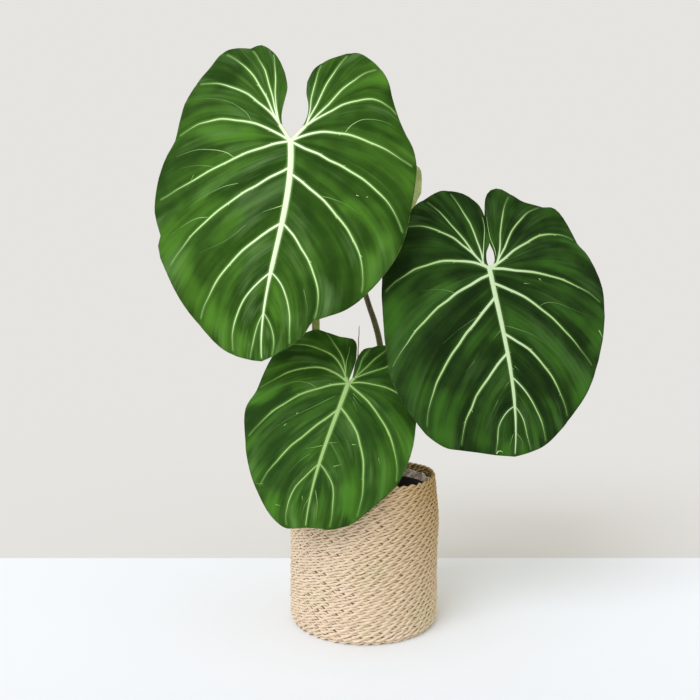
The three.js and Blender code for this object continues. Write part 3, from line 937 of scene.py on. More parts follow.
    def sector(
        self, half: HalfCurves, first: Vein, second: Vein, shares: np.ndarray, b: np.ndarray
    ) -> tuple[np.ndarray, np.ndarray]:
        """Places points between two dividing curves.

        Args:
            half: the curves of the blade's half.
            first: the curve at share 0.
            second: the curve at share 1.
            shares: places across the sector.
            b: places from the midrib to the margin.

        Returns:
            The flat points and their lift, with an axis for the shares and one for b.
        """
        place = lerp(first.place, second.place, shares)
        s, t = shares[:, None, None], b[None, :, None]
        ends = half.rim(np.array([first.place, second.place]))
        chord = lerp(ends[0], ends[1], shares[:, None])
        zero = np.zeros(1)
        straight = lerp(first.point(zero)[0], second.point(zero)[0], shares[:, None])
        start = straight
        if math.isfinite(first.root) and math.isfinite(second.root):
            start = self.midrib_at(lerp(first.root, second.root, shares))
        begin, end = first.point(b), second.point(b)
        flat = lerp(begin[None], end[None], s)
        flat = flat + t**2 * (half.rim(place) - chord)[:, None] + (1 - t) ** 2 * (start - straight)[:, None]
        puff = np.minimum(self.puff * np.linalg.norm(end - begin, axis=1), self.puff_most)
        free = np.sin(math.pi * shares)[:, None] * (1 - (1 - b) ** 4)
        ripple = np.sin(math.pi * place) * np.sin(2 * math.pi * self.ripples * place + self.shape.roll)
        rough = bumps(np.pad(flat.reshape(-1, 2), ((0, 0), (0, 1))), self.quilt_size, self.seed)
        lift = free * (puff + self.quilting * rough.reshape(free.shape))
        return flat, lift + self.shape.ripple * ripple[:, None] * b**3

    def shares(self, first: Vein, second: Vein) -> np.ndarray:
        """Places the mesh's columns across a sector.

        Args:
            first: the curve at share 0.
            second: the curve at share 1.

        Returns:
            Their shares, which draw together at the veins.
        """
        if first.root != second.root and math.isfinite(first.root) and math.isfinite(second.root):
            inside = [v for v in self.stations() if second.root <= v <= first.root]
            return (np.array(inside) - first.root) / (second.root - first.root)
        return (1 - np.cos(math.pi * np.arange(self.columns + 1) / self.columns)) / 2

    def stations(self) -> list[float]:
        """Lists where columns of the mesh start.

        Returns:
            The heights on the midrib, from the top down.
        """
        roots = {vein.root for half in self.curves.values() for vein in half.veins}
        ordered = sorted((root for root in roots if math.isfinite(root)), reverse=True)
        heights = []
        for high, low in pairwise(ordered):
            steps = max(2, round((high - low) / self.station))
            heights += [lerp(high, low, (1 - math.cos(math.pi * s / steps)) / 2) for s in range(steps)]
        return [*heights, ordered[-1]]

    def main_ribs(self) -> list[Rib]:
        """Lists the large ribs.

        Returns:
            The midrib, then each half's fork and side veins.
        """
        length = self.shape.length
        count = round(length / self.rib_step)
        heights = np.linspace(self.midrib_above, -self.midrib_reach * length, count)
        half_widths = np.interp(-heights / length, *np.array(self.midrib).T)
        bends = tuple((int(len(heights) * share), side) for share, side in self.midrib_ticks)
        ribs = [Rib(self.midrib_at(heights), half_widths, (0.0, 0.4), bends)]
        draw = np.random.default_rng(self.seed)
        for half in self.curves.values():
            stub = np.linspace(0, 1, self.fork_steps)[:, None] * half.fork
            ribs.append(Rib(stub, np.full(len(stub), self.fork_half), (0.0, 0.0)))
            for first, second in pairwise(half.veins[1:]):
                b = np.linspace(0, self.vein_reach, self.vein_steps)
                line = self.sector(half, first, second, np.zeros(1), b)[0][0]
                start = half.fork * self.fork_start
                if first.root != FORK:
                    start = self.midrib_at(first.root + self.vein_above)[0]
                line = even(np.vstack([start, line[1:]]), round(lengths(line)[-1] / self.rib_step))
                ribs.append(self.side_vein(line, draw))
        return ribs

    def side_vein(self, line: np.ndarray, draw: np.random.Generator) -> Rib:
        """Makes a side vein that bends a little to and fro.

        Args:
            line: its line, without the bends.
            draw: where its bends are drawn from.

        Returns:
            The vein.
        """
        along = lengths(line)
        span = along[-1]
        knots = [0.0]
        while knots[-1] < span:
            knots.append(knots[-1] + draw.uniform(*self.kink_steps))
        side = draw.choice([-1.0, 1.0])
        sides = side * (-1.0) ** np.arange(len(knots))
        shifts = self.kink * sides * draw.uniform(0.2, 1.0, len(knots)) * (np.array(knots) > 0)
        shift = np.interp(along, knots, shifts) * np.clip((span - along) / self.kink_calm, 0, 1)
        ahead = unit(np.gradient(line, axis=0))
        sideways = np.stack([-ahead[:, 1], ahead[:, 0]], axis=1)
        share = np.linspace(0, 1, len(line))
        root = self.vein_half * min(1.0, (span / self.full_length) ** 1.4)
        half_widths = lerp(root, min(root, self.vein_end), share**1.3)
        half_widths = half_widths * np.clip((1 - share) / self.vein_fade, 0.3, 1)
        rows = np.searchsorted(along, knots[1:-1])
        last = self.tick_reach * len(line)
        bends = tuple((int(row), turn) for row, turn in zip(rows, sides[1:-1]) if row < last)
        age = float(np.clip((self.vein_least - root) * 6, 0, 0.8))
        return Rib(line + sideways * shift[:, None], half_widths, (age, 1.5), bends if root > 1 else ())

    def ticks(self, ribs: list[Rib]) -> list[Rib]:
        """Starts a short thin vein at some of the bends.

        Args:
            ribs: the ribs with the bends.

        Returns:
            The short veins.
        """
        draw = np.random.default_rng(self.seed)
        steps = np.linspace(0, 1, 5)[:, None]
        made = []
        for rib in ribs:
            for row, side in rib.bends:
                lean, reach, thick, chance = draw.uniform(self.tick_least, self.tick_most)
                if chance > self.tick_share:
                    continue
                ahead = unit(rib.line[row + 1] - rib.line[row])
                away = side * np.array([-ahead[1], ahead[0]])
                reach = reach + rib.half_widths[row]
                line = rib.line[row] + reach * steps * (ahead * lean + away * (1 - 0.25 * steps))
                made.append(Rib(line, np.linspace(thick, self.tick_end, len(line)), (0.2, 0.8)))
        return made

    def side_branches(self) -> list[Rib]:
        """Makes the thin veins and scratches that are listed one by one.

        Returns:
            One rib for each, which widens at its start and thins out to its end.
        """
        made = []
        for branch in self.branches:
            line = spline(branch.points, np.linspace(0, 1, 60))
            line = even(line, max(6, round(lengths(line)[-1] / self.branch_step)))
            share = np.linspace(0, 1, len(line))
            half_widths = branch.half_width * (1 - 0.7 * share) * np.minimum(0.4 + 5 * share, 1)
            start, end = (branch.age + added for added in self.branch_ages)
            made.append(Rib(line, half_widths, (start, end)))
        return made

    def dress(self, form: Form, node: str, finish: Callable[[str], Material]) -> None:
        """Makes the piece that stands for one of the leaf's plain solids."""
        name = f"{self.name}_{node}"
        form.piece(f"{name}_dressed", finish(name), [name])

    def build(self) -> None:
        """Builds the blade, its ribs and its stalk."""
        ribs = self.main_ribs()
        upper, lower = self.build_blade(ribs)
        form = Form()
        for rib in ribs:
            self.add_rib(form, rib, upper, 1.0)
            self.add_rib(form, rib, lower, -1.0)
        for rib in self.ticks(ribs) + self.side_branches():
            self.add_rib(form, rib, upper, 1.0)
        self.dress(form, "ribs", self.finish.ribs)
        self.build_petiole()

    def build_blade(self, ribs: list[Rib]) -> tuple[BVHTree, BVHTree]:
        """Builds the blade's mesh.

        Args:
            ribs: the ribs that its colours follow.

        Returns:
            Search trees of its upper and its lower face.
        """
        flat, lift, streak, faces = self.grid()
        inset = distance(flat, self.margin_line())
        edge = np.min([distance(flat, rib.line, rib.half_widths) for rib in ribs], axis=0)
        wash = np.zeros(len(flat))
        # each wash: painted highlight, or painted shade where its strength is below 0, partly the leaf's own
        # tone
        for stroke in self.washes:
            away = distance(flat, spline(stroke.points, np.linspace(0, 1, 12)))
            wash += stroke.strength * np.exp(-((away / stroke.reach) ** 2))
        half = lerp(self.rim_thickness, self.thickness, np.clip(inset / self.rim_width, 0, 1)) / 2
        upper = self.bent(flat, lift + half)
        lower = self.bent(flat, lift - half)
        count = len(flat)
        back = [tuple(count + corner for corner in face[::-1]) for face in faces]
        edges = {pair for face in faces for pair in zip(face, face[1:] + face[:1])}
        walls = [(a, count + a, count + b, b) for a, b in edges if (b, a) not in edges]
        side = np.repeat([1.0, 0.0], count)
        doubled = {"edge": edge, "inset": inset, "wash": wash, "streak": streak}
        values = {key: np.concatenate([value, value]) for key, value in doubled.items()}
        form = Form()
        form.add(np.concatenate([upper, lower]), faces + back + sorted(walls), side=side, **values)
        self.dress(form, "blade", self.finish.blade)
        return BVHTree.FromPolygons(upper.tolist(), faces), BVHTree.FromPolygons(lower.tolist(), faces)

    def grid(self) -> tuple[np.ndarray, np.ndarray, np.ndarray, Faces]:
        """Lays the blade's mesh in its flat plane.

        Returns:
            The flat points, their lift, their streak coordinates, and the faces.
        """
        index: dict[tuple[float, float], int] = {}
        flats: list[np.ndarray] = []
        lifts: list[float] = []
        streaks: list[tuple[float, float, float]] = []
        faces: Faces = []
        b = np.linspace(0, 1, self.rows + 1)
        for side, half in self.curves.items():
            for k, (first, second) in enumerate(pairwise(half.veins)):
                shares = self.shares(first, second)
                flat, lift = self.sector(half, first, second, shares, b)
                spots = np.empty(lift.shape, int)
                for c, r in np.ndindex(*lift.shape):
                    key = (round(flat[c, r, 0], 2) + 0.0, round(flat[c, r, 1], 2) + 0.0)
                    if key not in index:
                        index[key] = len(flats)
                        flats.append(flat[c, r])
                        lifts.append(lift[c, r])
                        streaks.append((k + shares[c], b[r], self.seed + 3.3 * side.value))
                    spots[c, r] = index[key]
                for c, r in np.ndindex(len(shares) - 1, self.rows):
                    quad = [spots[c, r], spots[c, r + 1], spots[c + 1, r + 1], spots[c + 1, r]]
                    corners = list(dict.fromkeys(int(i) for i in quad))
                    if len(corners) > 2:
                        faces.append(tuple(corners if side is Side.LEFT else corners[::-1]))
        return np.array(flats), np.array(lifts), np.array(streaks), faces

    def margin_line(self) -> np.ndarray:
        """Runs along both halves' sinus and margin.

        Returns:
            The line's points, from tip to tip.
        """
        t = np.linspace(0, 1, self.rim_steps)
        halves = self.curves.values()
        left, right = (np.vstack([half.veins[0].point(t[::4]), half.rim(t)]) for half in halves)
        return np.vstack([left[::-1], right])

    def add_rib(self, form: Form, rib: Rib, face: BVHTree, side: float) -> None:
        """Lays one domed strip along the blade's face.

        Args:
            form: the mesh that it is added to.
            rib: its line and widths.
            face: search tree of the blade's face.
            side: 1 on the upper face and -1 on the lower.
        """
        ahead = unit(np.gradient(rib.line, axis=0))
        sideways = np.stack([ahead[:, 1], -ahead[:, 0]], axis=1)
        places, rises, sinks = np.array(self.rib_section).T
        flat = rib.line[:, None] + sideways[:, None] * (rib.half_widths[:, None] * places)[..., None]
        height = self.rib_relief * rib.half_widths[:, None] * rises - self.rib_sink * sinks
        spread = flat.reshape(-1, 2)
        origins = self.bent(spread, self.drop_from * side)
        towards = Vector(self.normal * -side)
        hits = [face.ray_cast(Vector(origin), towards)[0] for origin in origins.tolist()]
        middle = self.bent(spread, 0.0)
        level = np.array([tuple(place if hit is None else hit) for hit, place in zip(hits, middle)])
        points = level + side * height.reshape(-1)[:, None] * self.normal
        age = np.repeat(np.linspace(*rib.age, len(rib.line)), len(places))
        faces = ring_faces(len(rib.line), len(places))
        if side < 0:
            faces = [corners[::-1] for corners in faces]
        form.add(points, faces, age=age, side=np.full(len(points), (side + 1) / 2))

    def build_petiole(self) -> None:
        """Builds the stalk from the rhizome to the joint."""
        stalk = self.shape.petiole
        seat = self.bent(np.array([[0.0, -self.seat]]), -self.thickness / 2)[0]
        before = seat - self.normal * self.straight
        line = route([*stalk.route, tuple(before), tuple(seat)], self.stem_rings)
        radii = [*stalk.radii, stalk.radii[-1], stalk.radii[-1]]
        shares = np.linspace(0, 1, self.stem_rings)
        along = np.interp(shares, np.linspace(0, 1, len(radii)), radii)
        flare = self.stem_flare * np.exp(-shares * 40)
        along = along * (1 + flare + self.stem_wave * np.sin(shares * 9 + self.seed))
        turn = circle(self.stem_sides)
        groove = 1 - 0.05 * np.cos(3 * turn + self.seed) - 0.02 * np.cos(7 * turn)
        form = Form()
        points = tube(line, along[:, None] * groove)
        points = points + self.stem_rough * bumps(points, 9.0, self.seed)[:, None] * self.across
        form.add(points, ring_faces(self.stem_rings, self.stem_sides))
        self.dress(form, "petiole", self.stalk.material)


def distance(points: np.ndarray, line: np.ndarray, half_widths: Numbers = 0.0) -> np.ndarray:
    """Measures how far points lie outside a line of varying width.

    Args:
        points: the places, in the flat plane.
        line: the line's points.
        half_widths: half its width, at each of them or all along.

    Returns:
        The distance to its nearest side, below 0 inside it.
    """
    nearest = np.full(len(points), np.inf)
    halves = np.broadcast_to(half_widths, len(line))
    for (start, end), (first, second) in zip(pairwise(line), pairwise(halves)):
        step = end - start
        t = np.clip((points - start) @ step / max(step @ step, 1e-9), 0, 1)
        away = np.linalg.norm(points - start - t[:, None] * step, axis=1)
        nearest = np.minimum(nearest, away - lerp(first, second, t))
    return nearest


LEAF_1 = LeafShape(
    joint=(-80, -70, 538),
    turn=-6,
    tilt=4,
    roll=-7,
    arch=16,
    half_width=145,
    droop=14,
    length=239,
    sway=(16, -17, -2),
    ripple=2.6,
    left=Half(
        fork=(14, 17),
        sinus=((0, 0), (10, 14), (14, 28), (13, 44), (12, 60), (17, 76)),
        margin=(
            (17, 76), (24, 88), (34, 99, FORK, 22.5, 43, 27, 72), (48, 106), (61, 103, FORK, 27, 47, 40, 77),
            (76, 101), (92, 95, FORK, 35, 48, 59, 77), (103, 79), (120, 60, FORK, 45, 43, 81, 58.5),
            (128, 38), (130, 17), (134, -6, 0, 45.5, 17, 93.5, 17.5), (144, -28), (149, -52),
            (149, -78, 0, 53, -20, 102, -48.5), (144, -96), (136, -114), (138, -130),
            (124, -154, -28, 49, -64, 92, -104), (100, -185), (77, -208, -89, 36.5, -122.5, 64, -162),
            (52, -228), (34, -236, -143, 26.5, -170.5, 37, -202.5), (15, -239, -187, 13, -213), (2, -239),
        ),
    ),
    right=Half(
        fork=(14, 18),
        sinus=((0, 0), (9, 14), (14, 28), (14, 41), (10, 54), (9, 67)),
        margin=(
            (9, 67), (14, 80), (23, 90, FORK, 16.5, 42, 17.7, 66.5), (36, 97),
            (51, 105, FORK, 24.3, 48, 35, 77.7), (66, 103), (86, 90, FORK, 35.5, 44.5, 57, 72), (97, 75),
            (103, 59), (113, 38, FORK, 45, 41.5, 80, 55.7), (122, 21), (132, 6),
            (138, -14, 0, 46, 14.2, 94, 6), (138, -40), (137, -67), (134, -92, 0, 53, -19.3, 102.5, -46),
            (127, -114), (114, -137), (95, -161, -35, 49.3, -65, 85.5, -107), (80, -175), (62, -184),
            (48, -191, -89, 31, -119.3, 49, -155), (40, -206), (26, -220, -143, 15, -163.8, 23.3, -191),
            (8, -233, -187, 7, -208), (-2, -239),
        ),
    ),
    petiole=Petiole(
        route=((-54, 5, 141), (-57, 5, 200), (-57, 5, 342), (-62, 2, 440), (-74, -18, 512)),
        radii=(7.5, 6, 5.2, 4.8, 4),
    ),
)

LEAF_2 = LeafShape(
    joint=(140, -44, 404),
    turn=8,
    tilt=12,
    roll=8,
    arch=14,
    half_width=120,
    droop=12,
    length=208,
    sway=(-1, 6.5, -12.5),
    ripple=2,
    left=Half(
        fork=(6, 5),
        sinus=((0, 0), (1.2, 9), (-0.6, 19), (-6.6, 30), (-6.8, 43), (-8.0, 63)),
        margin=(
            (-8.0, 63), (-4.5, 74), (1, 82), (12, 92), (28, 98, FORK, 7.5, 36.5, 15, 67), (41, 98),
            (57, 92, FORK, 21.5, 35, 37, 65), (71, 84), (95, 61, FORK, 28.5, 35, 58, 56.5), (106, 46),
            (115, 27), (124, -12, 0, 42, 15, 85.5, 10.5), (128, -48), (131, -70),
            (130, -98, -7, 50.5, -27, 94.5, -57.5), (125, -123), (114, -150),
            (102, -170, -33, 43.5, -71.5, 81.5, -115.5), (86, -186), (69, -192, -97, 29, -123, 54, -154.5),
            (50, -198), (33, -203, -155, 19.5, -166.5, 27.6, -184.3), (12, -208),
        ),
    ),
    right=Half(
        fork=(9, 4),
        sinus=((0, 0), (4.5, 3.5), (8.2, 9), (9, 19), (6.8, 30), (7.0, 43), (8.2, 63)),
        margin=(
            (8.2, 63), (10.5, 75), (13.5, 84), (20, 92), (32, 94), (46, 87, FORK, 20.2, 32.2, 29.7, 61),
            (60, 76), (84, 69, FORK, 29, 31, 52.6, 55.8), (96, 65), (108, 50),
            (121, 22, FORK, 44.5, 23, 83, 34.8), (130, 5), (137, -28), (136, -57, 0, 49.5, -9.5, 96.5, -26.3),
            (130, -78), (119, -104), (104, -130, -17, 43.5, -46, 78, -85), (88, -150), (75, -164),
            (57, -180, -75, 31, -103, 51, -139.4), (42, -190), (25, -201, -123, 15.2, -146.4, 24, -173),
            (7, -206, -155, 4, -171.7, 6, -189), (-12.5, -208),
        ),
    ),
    petiole=Petiole(
        route=((33, -5, 141), (38, -4, 200), (61, -4, 260), (95, -7, 332), (126, -14, 382)),
        radii=(6.5, 5.5, 4.8, 4.4, 3.6),
    ),
)

LEAF_3 = LeafShape(
    joint=(-18, -40, 275),
    turn=-4,
    tilt=28,
    roll=-13,
    arch=12,
    half_width=90,
    droop=12,
    length=163,
    sway=(-3, -12, -3),
    ripple=1.8,
    left=Half(
        fork=(5, 7),
        sinus=((0, 0), (0.3, 6), (-0.2, 12), (-0.9, 23), (-0.8, 33), (1, 42)),
        margin=(
            (1, 42), (3, 50), (9, 56), (25, 57), (44, 61, FORK, 13.7, 28.2, 28, 45.6), (58, 60), (75, 50),
            (87, 39, FORK, 26.7, 30.2, 56, 39.2), (95, 27), (101, 4), (105, -25, 0, 38, 12.8, 74.6, 0),
            (109, -44), (107, -60), (97, -86.5, 0, 41.5, -18.5, 75, -47.7), (91, -100), (79, -120),
            (65, -138, -32, 28.2, -64.6, 51.2, -99), (47, -156), (33, -165),
            (21, -168, -96, 21, -118, 28, -143.5), (3, -163),
        ),
    ),
    right=Half(
        fork=(5, 8),
        sinus=((0, 0), (2, 5), (2.4, 12), (1.4, 23), (1.4, 32), (2.4, 38)),
        margin=(
            (2.4, 38), (6.5, 46), (15, 52, FORK, 7, 22.3, 8.6, 37.4), (23, 56),
            (35, 57, FORK, 14.3, 24.7, 24.3, 41.2), (54, 49, FORK, 22.2, 20.6, 39.3, 33.8), (64, 37),
            (73, 22),
            (81, -9, 0, 27.6, 6.2, 55.6, 3.4), (84, -30), (86, -52), (84, -76),
            (77, -99, 0, 37, -23.7, 65, -57), (64, -121), (45, -145, -29, 28, -60.7, 43.6, -102),
            (33, -154), (21, -159, -96, 11.1, -112.4, 19.4, -135), (-3, -163),
        ),
    ),
    petiole=Petiole(
        route=((-22, 2, 141), (-21, 8, 190), (-19, 4, 235), (-18, -10, 261)),
        radii=(6, 4.8, 4, 3.6),
    ),
)

LEAF_4 = replace(
    LEAF_3,
    joint=(-32, 105, 533),
    turn=220,
    tilt=56,
    roll=-56,
    arch=8,
    droop=10,
    petiole=Petiole(
        route=(
            (20, 8, 141), (22, 16, 220), (21, 30, 320), (4, 36, 380), (-12, 51, 436), (-25, 82, 500),
        ),
        radii=(6, 4.6, 3.7, 3.6, 3.4, 3.2),
    ),
)

BRANCHES_1 = (
    Branch(((-46, 17.5), (-54, 28), (-73, 38), (-97, 42), (-117, 40)), 0.40, 0.75),
    Branch(((-60, -23), (-70, -18), (-86, -16), (-107, -17), (-130, -25)), 0.55, 0.50),
    Branch(((2, -70), (-7, -74), (-20, -80)), 0.60, 0.50),
    Branch(((57, 15), (64, 24), (76, 31), (92, 32), (106, 29)), 0.60, 0.60),
    Branch(((-82, -90), (-96, -93), (-110, -102), (-124, -113)), 0.50, 0.60),
    Branch(((-83, -34), (-103, -34), (-123, -38)), 0.35, 0.80),
    Branch(((-36, -95), (-56, -114), (-85, -130)), 0.40, 0.85),
    Branch(((-51, -51), (-69, -57), (-86, -67), (-100, -77)), 0.50, 0.70),
    Branch(((41, -56), (53, -58), (70, -63), (86, -72)), 0.45, 0.80),
    Branch(((35, -157), (41, -175), (43, -185)), 0.40, 0.85),
    Branch(((-105, -44), (-109, -54), (-112, -62)), 0.35, 0.70),
    Branch(((78, -51), (81, -52)), 0.55, -0.50),
    Branch(((89, -52), (90.5, -51)), 0.50, -0.50),
)

# streaks of painted highlight and painted shade on leaf 1, partly its own tone
WASHES_1 = (
    Wash(((-86, -67), (-100, -77), (-122, -99), (-136, -121)), 7, 0.8),
    Wash(((70, -63), (86, -72), (99, -83), (112, -98)), 7, 0.8),
    Wash(((-103, 8), (-78, 2), (-53, 5)), 14, 0.9),
    Wash(((-117, -131), (-100, -157), (-73, -183)), 16, 0.9),
    Wash(((-69, -195), (-49, -212), (-25, -224)), 12, 0.9),
    Wash(((84, 90), (95, 77)), 8, 0.9),
    Wash(((109, 22), (131, 3)), 10, 0.5),
    Wash(((103, -118), (104, -141)), 10, 0.7),
    Wash(((2, -161), (15, -188)), 10, 0.5),
    Wash(((-15, -29), (-32, -50), (-55, -66)), 12, -0.8),
    Wash(((25, -78), (46, -95), (64, -123), (72, -162)), 9, -0.9),
    Wash(((-65, 85), (-76, 72), (-87, 59)), 9, -0.7),
    Wash(((16, -12), (42, -23), (67, -40)), 12, -0.5),
    Wash(((-148, -20), (-146, -50)), 8, -0.9),
    Wash(((-19, -73), (-28, -98), (-43, -118)), 10, -0.6),
    Wash(((102, 63), (110, 52)), 5, -1),
    Wash(((-67, -38), (-91, -49), (-108, -64)), 8, -0.6),
)

BRANCHES_2 = (
    Branch(((-6, 8), (-3, 20), (0.5, 34), (4.4, 50), (4.2, 61)), 0.75, -0.30),
    Branch(((10.6, 13), (10.6, 22), (8.6, 34), (8.4, 46), (9.6, 61)), 0.45, -0.10),
    Branch(((-44, -23.5), (-52, -19), (-64, -16), (-81, -15)), 0.40, 0.70),
    Branch(((49, -50), (58, -47), (71, -49), (93, -59), (114, -69)), 0.40, 0.75),
    Branch(((-2, -71), (-7, -75), (-13, -80)), 0.40, 0.55),
    Branch(((2, -66), (14, -71), (34, -82), (51, -98), (68, -116)), 0.40, 0.75),
    Branch(((-24, -52), (-37, -58), (-51, -65), (-70, -77)), 0.35, 0.85),
    Branch(((5, -112), (10, -118)), 0.35, 0.60),
    Branch(((40, -120), (48, -121)), 0.35, 0.60),
    Branch(((-4, -128), (-13, -136)), 0.35, 0.60),
    Branch(((-8, -181), (-2, -192), (-3, -203)), 0.45, 0.60),
    Branch(((-10, -184), (-16, -195), (-18, -201)), 0.40, 0.60),
    Branch(((-38, -100), (-51, -111)), 0.35, 0.80),
    Branch(((-20, -145), (-32, -161), (-41, -176)), 0.35, 0.85),
    Branch(((56, -18), (58, -21)), 0.70, 0.00),
    Branch(((36, -22), (43, -23)), 0.40, 0.30),
    Branch(((120, -84), (123.5, -94)), 0.70, 0.10),
    Branch(((-32, -202), (-29, -199), (-25, -201)), 0.90, -0.20),
)

# streaks of painted highlight and painted shade on leaf 2, partly its own tone
WASHES_2 = (
    Wash(((105, 28), (126, 7)), 10, 0.8),
    Wash(((40, 50), (47, 32), (49, 17)), 8, -0.5),
    Wash(((-73, 40), (-93, 26), (-108, 14)), 12, -0.8),
    Wash(((-50, 75), (-64, 68)), 9, -0.6),
    Wash(((-112, -16), (-116, -39), (-112, -58)), 12, 0.8),
    Wash(((-84, -133), (-84, -158), (-84, -175)), 14, 0.7),
    Wash(((108, -100), (96, -129), (81, -155)), 12, 0.9),
    Wash(((-26, -199), (-8, -200)), 7, 1),
    Wash(((9, -155), (15, -183)), 10, 0.4),
    Wash(((-34, -43), (-56, -62), (-74, -80)), 14, -0.7),
    Wash(((-17, -89), (-36, -111), (-50, -127)), 12, -0.5),
    Wash(((13, -93), (28, -117), (39, -141)), 12, -0.6),
    Wash(((5, -23), (24, -45), (40, -62)), 10, -0.5),
)

BRANCHES_3 = (
    Branch(((-6, 10), (-9, 26), (-9, 37), (-10, 45)), 0.55, 0.20),
    Branch(((-33, -13), (-45, -9), (-62, -11), (-79, -21), (-93, -33)), 0.50, 0.80),
    Branch(((-10, -18), (-30, -36), (-49, -51), (-64, -65), (-75, -80)), 0.40, 0.80),
    Branch(((-8, -76), (-15, -80), (-25, -84)), 0.50, 0.50),
    Branch(((-3, -72), (2, -71), (7, -69)), 0.45, 0.50),
    Branch(((-1, -71), (9, -82), (17, -92)), 0.35, 0.75),
    Branch(((-3, -124), (3, -138), (6, -154)), 0.45, 0.55),
    Branch(((-7, -132), (-10, -144), (-9, -156)), 0.40, 0.65),
    Branch(((-18, -88), (-28, -99), (-36, -114)), 0.35, 0.85),
    Branch(((8, -10), (15, -15), (22, -20)), 0.35, 0.60),
    Branch(((9, -14), (15, -20), (21, -26)), 0.30, 0.70),
    Branch(((10, -20), (14, -24), (19, -31)), 0.30, 0.75),
    Branch(((53, -75), (57, -83)), 0.40, 0.70),
    Branch(((-68, -131), (-63, -130), (-59, -129)), 0.35, 0.60),
    Branch(((-63, -128), (-60, -132)), 0.35, 0.60),
    Branch(((-47, -48), (-45, -46)), 0.60, -0.50),
    Branch(((-57, -64), (-54, -61)), 0.50, -0.40),
    Branch(((22, -68), (27, -67)), 0.55, -0.10),
    Branch(((53, -40), (56, -44), (58, -48)), 1.00, -0.30),
    Branch(((9, -96), (17, -92)), 0.50, 0.30),
    Branch(((-40, -148), (-34, -148)), 0.40, 0.30),
    Branch(((-15, -133), (-13, -138)), 0.40, 0.40),
)

# streaks of painted highlight and painted shade on leaves 3 and 4, partly their own tone
WASHES_3 = (
    Wash(((-104, -37), (-90, -30), (-77, -20)), 9, 0.8),
    Wash(((-57, -134), (-37, -150), (-19, -158)), 12, 0.6),
    Wash(((34, -117), (40, -135)), 10, 1),
    Wash(((-35, -18), (-56, -17)), 9, 0.6),
    Wash(((58, -66), (66, -87)), 10, 0.5),
    Wash(((-79, 22), (-59, 22), (-36, 24)), 9, -0.9),
    Wash(((-25, 41), (-13, 39)), 9, -0.9),
    Wash(((15, 35), (28, 41)), 9, -0.8),
    Wash(((-97, -68), (-106, -50)), 8, -0.5),
    Wash(((-33, -112), (-44, -128)), 10, -0.5),
    Wash(((28, -47), (44, -63)), 10, -0.4),
)

MIDRIB_2 = ((0, 3.0), (0.3, 2.6), (0.5, 2.2), (0.7, 1.8), (0.8, 1.2), (1, 0.4))
MIDRIB_3 = ((0, 2.8), (0.25, 2.3), (0.5, 1.8), (0.6, 1.7), (0.72, 1.1), (1, 0.4))

SHADED_STEM = StemFinish((124, 130, 88), (86, 94, 58), (76, 64, 52), (150, 148, 112))

FULL_GREEN = LeafFinish(
    deep=(36, 66, 14),
    mid=(61, 99, 28),
    bright=(78, 126, 36),
    haze=(106, 140, 82),
    glow=(122, 168, 84),
    margin=(46, 62, 36),
    rim_light=(104, 126, 70),
    rib=(234, 248, 208),
    rib_end=(204, 236, 158),
    faint=(100, 144, 66),
)

DEEP_GREEN = LeafFinish(
    deep=(20, 40, 9),
    mid=(42, 72, 23),
    bright=(56, 100, 28),
    haze=(68, 100, 48),
    glow=(84, 124, 58),
    margin=(34, 46, 26),
    rim_light=(66, 88, 44),
    rib=(198, 219, 172),
    rib_end=(168, 204, 124),
    faint=(72, 106, 50),
)

FRESH_GREEN = LeafFinish(
    deep=(33, 62, 15),
    mid=(56, 93, 28),
    bright=(70, 120, 34),
    haze=(94, 132, 66),
    glow=(98, 142, 62),
    margin=(40, 58, 30),
    rim_light=(84, 112, 56),
    rib=(156, 188, 114),
    rib_end=(154, 196, 106),
    faint=(92, 134, 62),
)


# ---- Basket -------------------------------------------------------------------------------------------


RIM_HEIGHT = 167.0  # of the basket
RIM_NIP = 2.2  # how far basket and liner draw in at the rim, on the right


def drawn_in(z: Numbers, angle: np.ndarray) -> np.ndarray:
    """Gives how far the right-hand side draws in at a height."""
    return RIM_NIP * (z / RIM_HEIGHT) ** 6 * facing(angle) ** 2


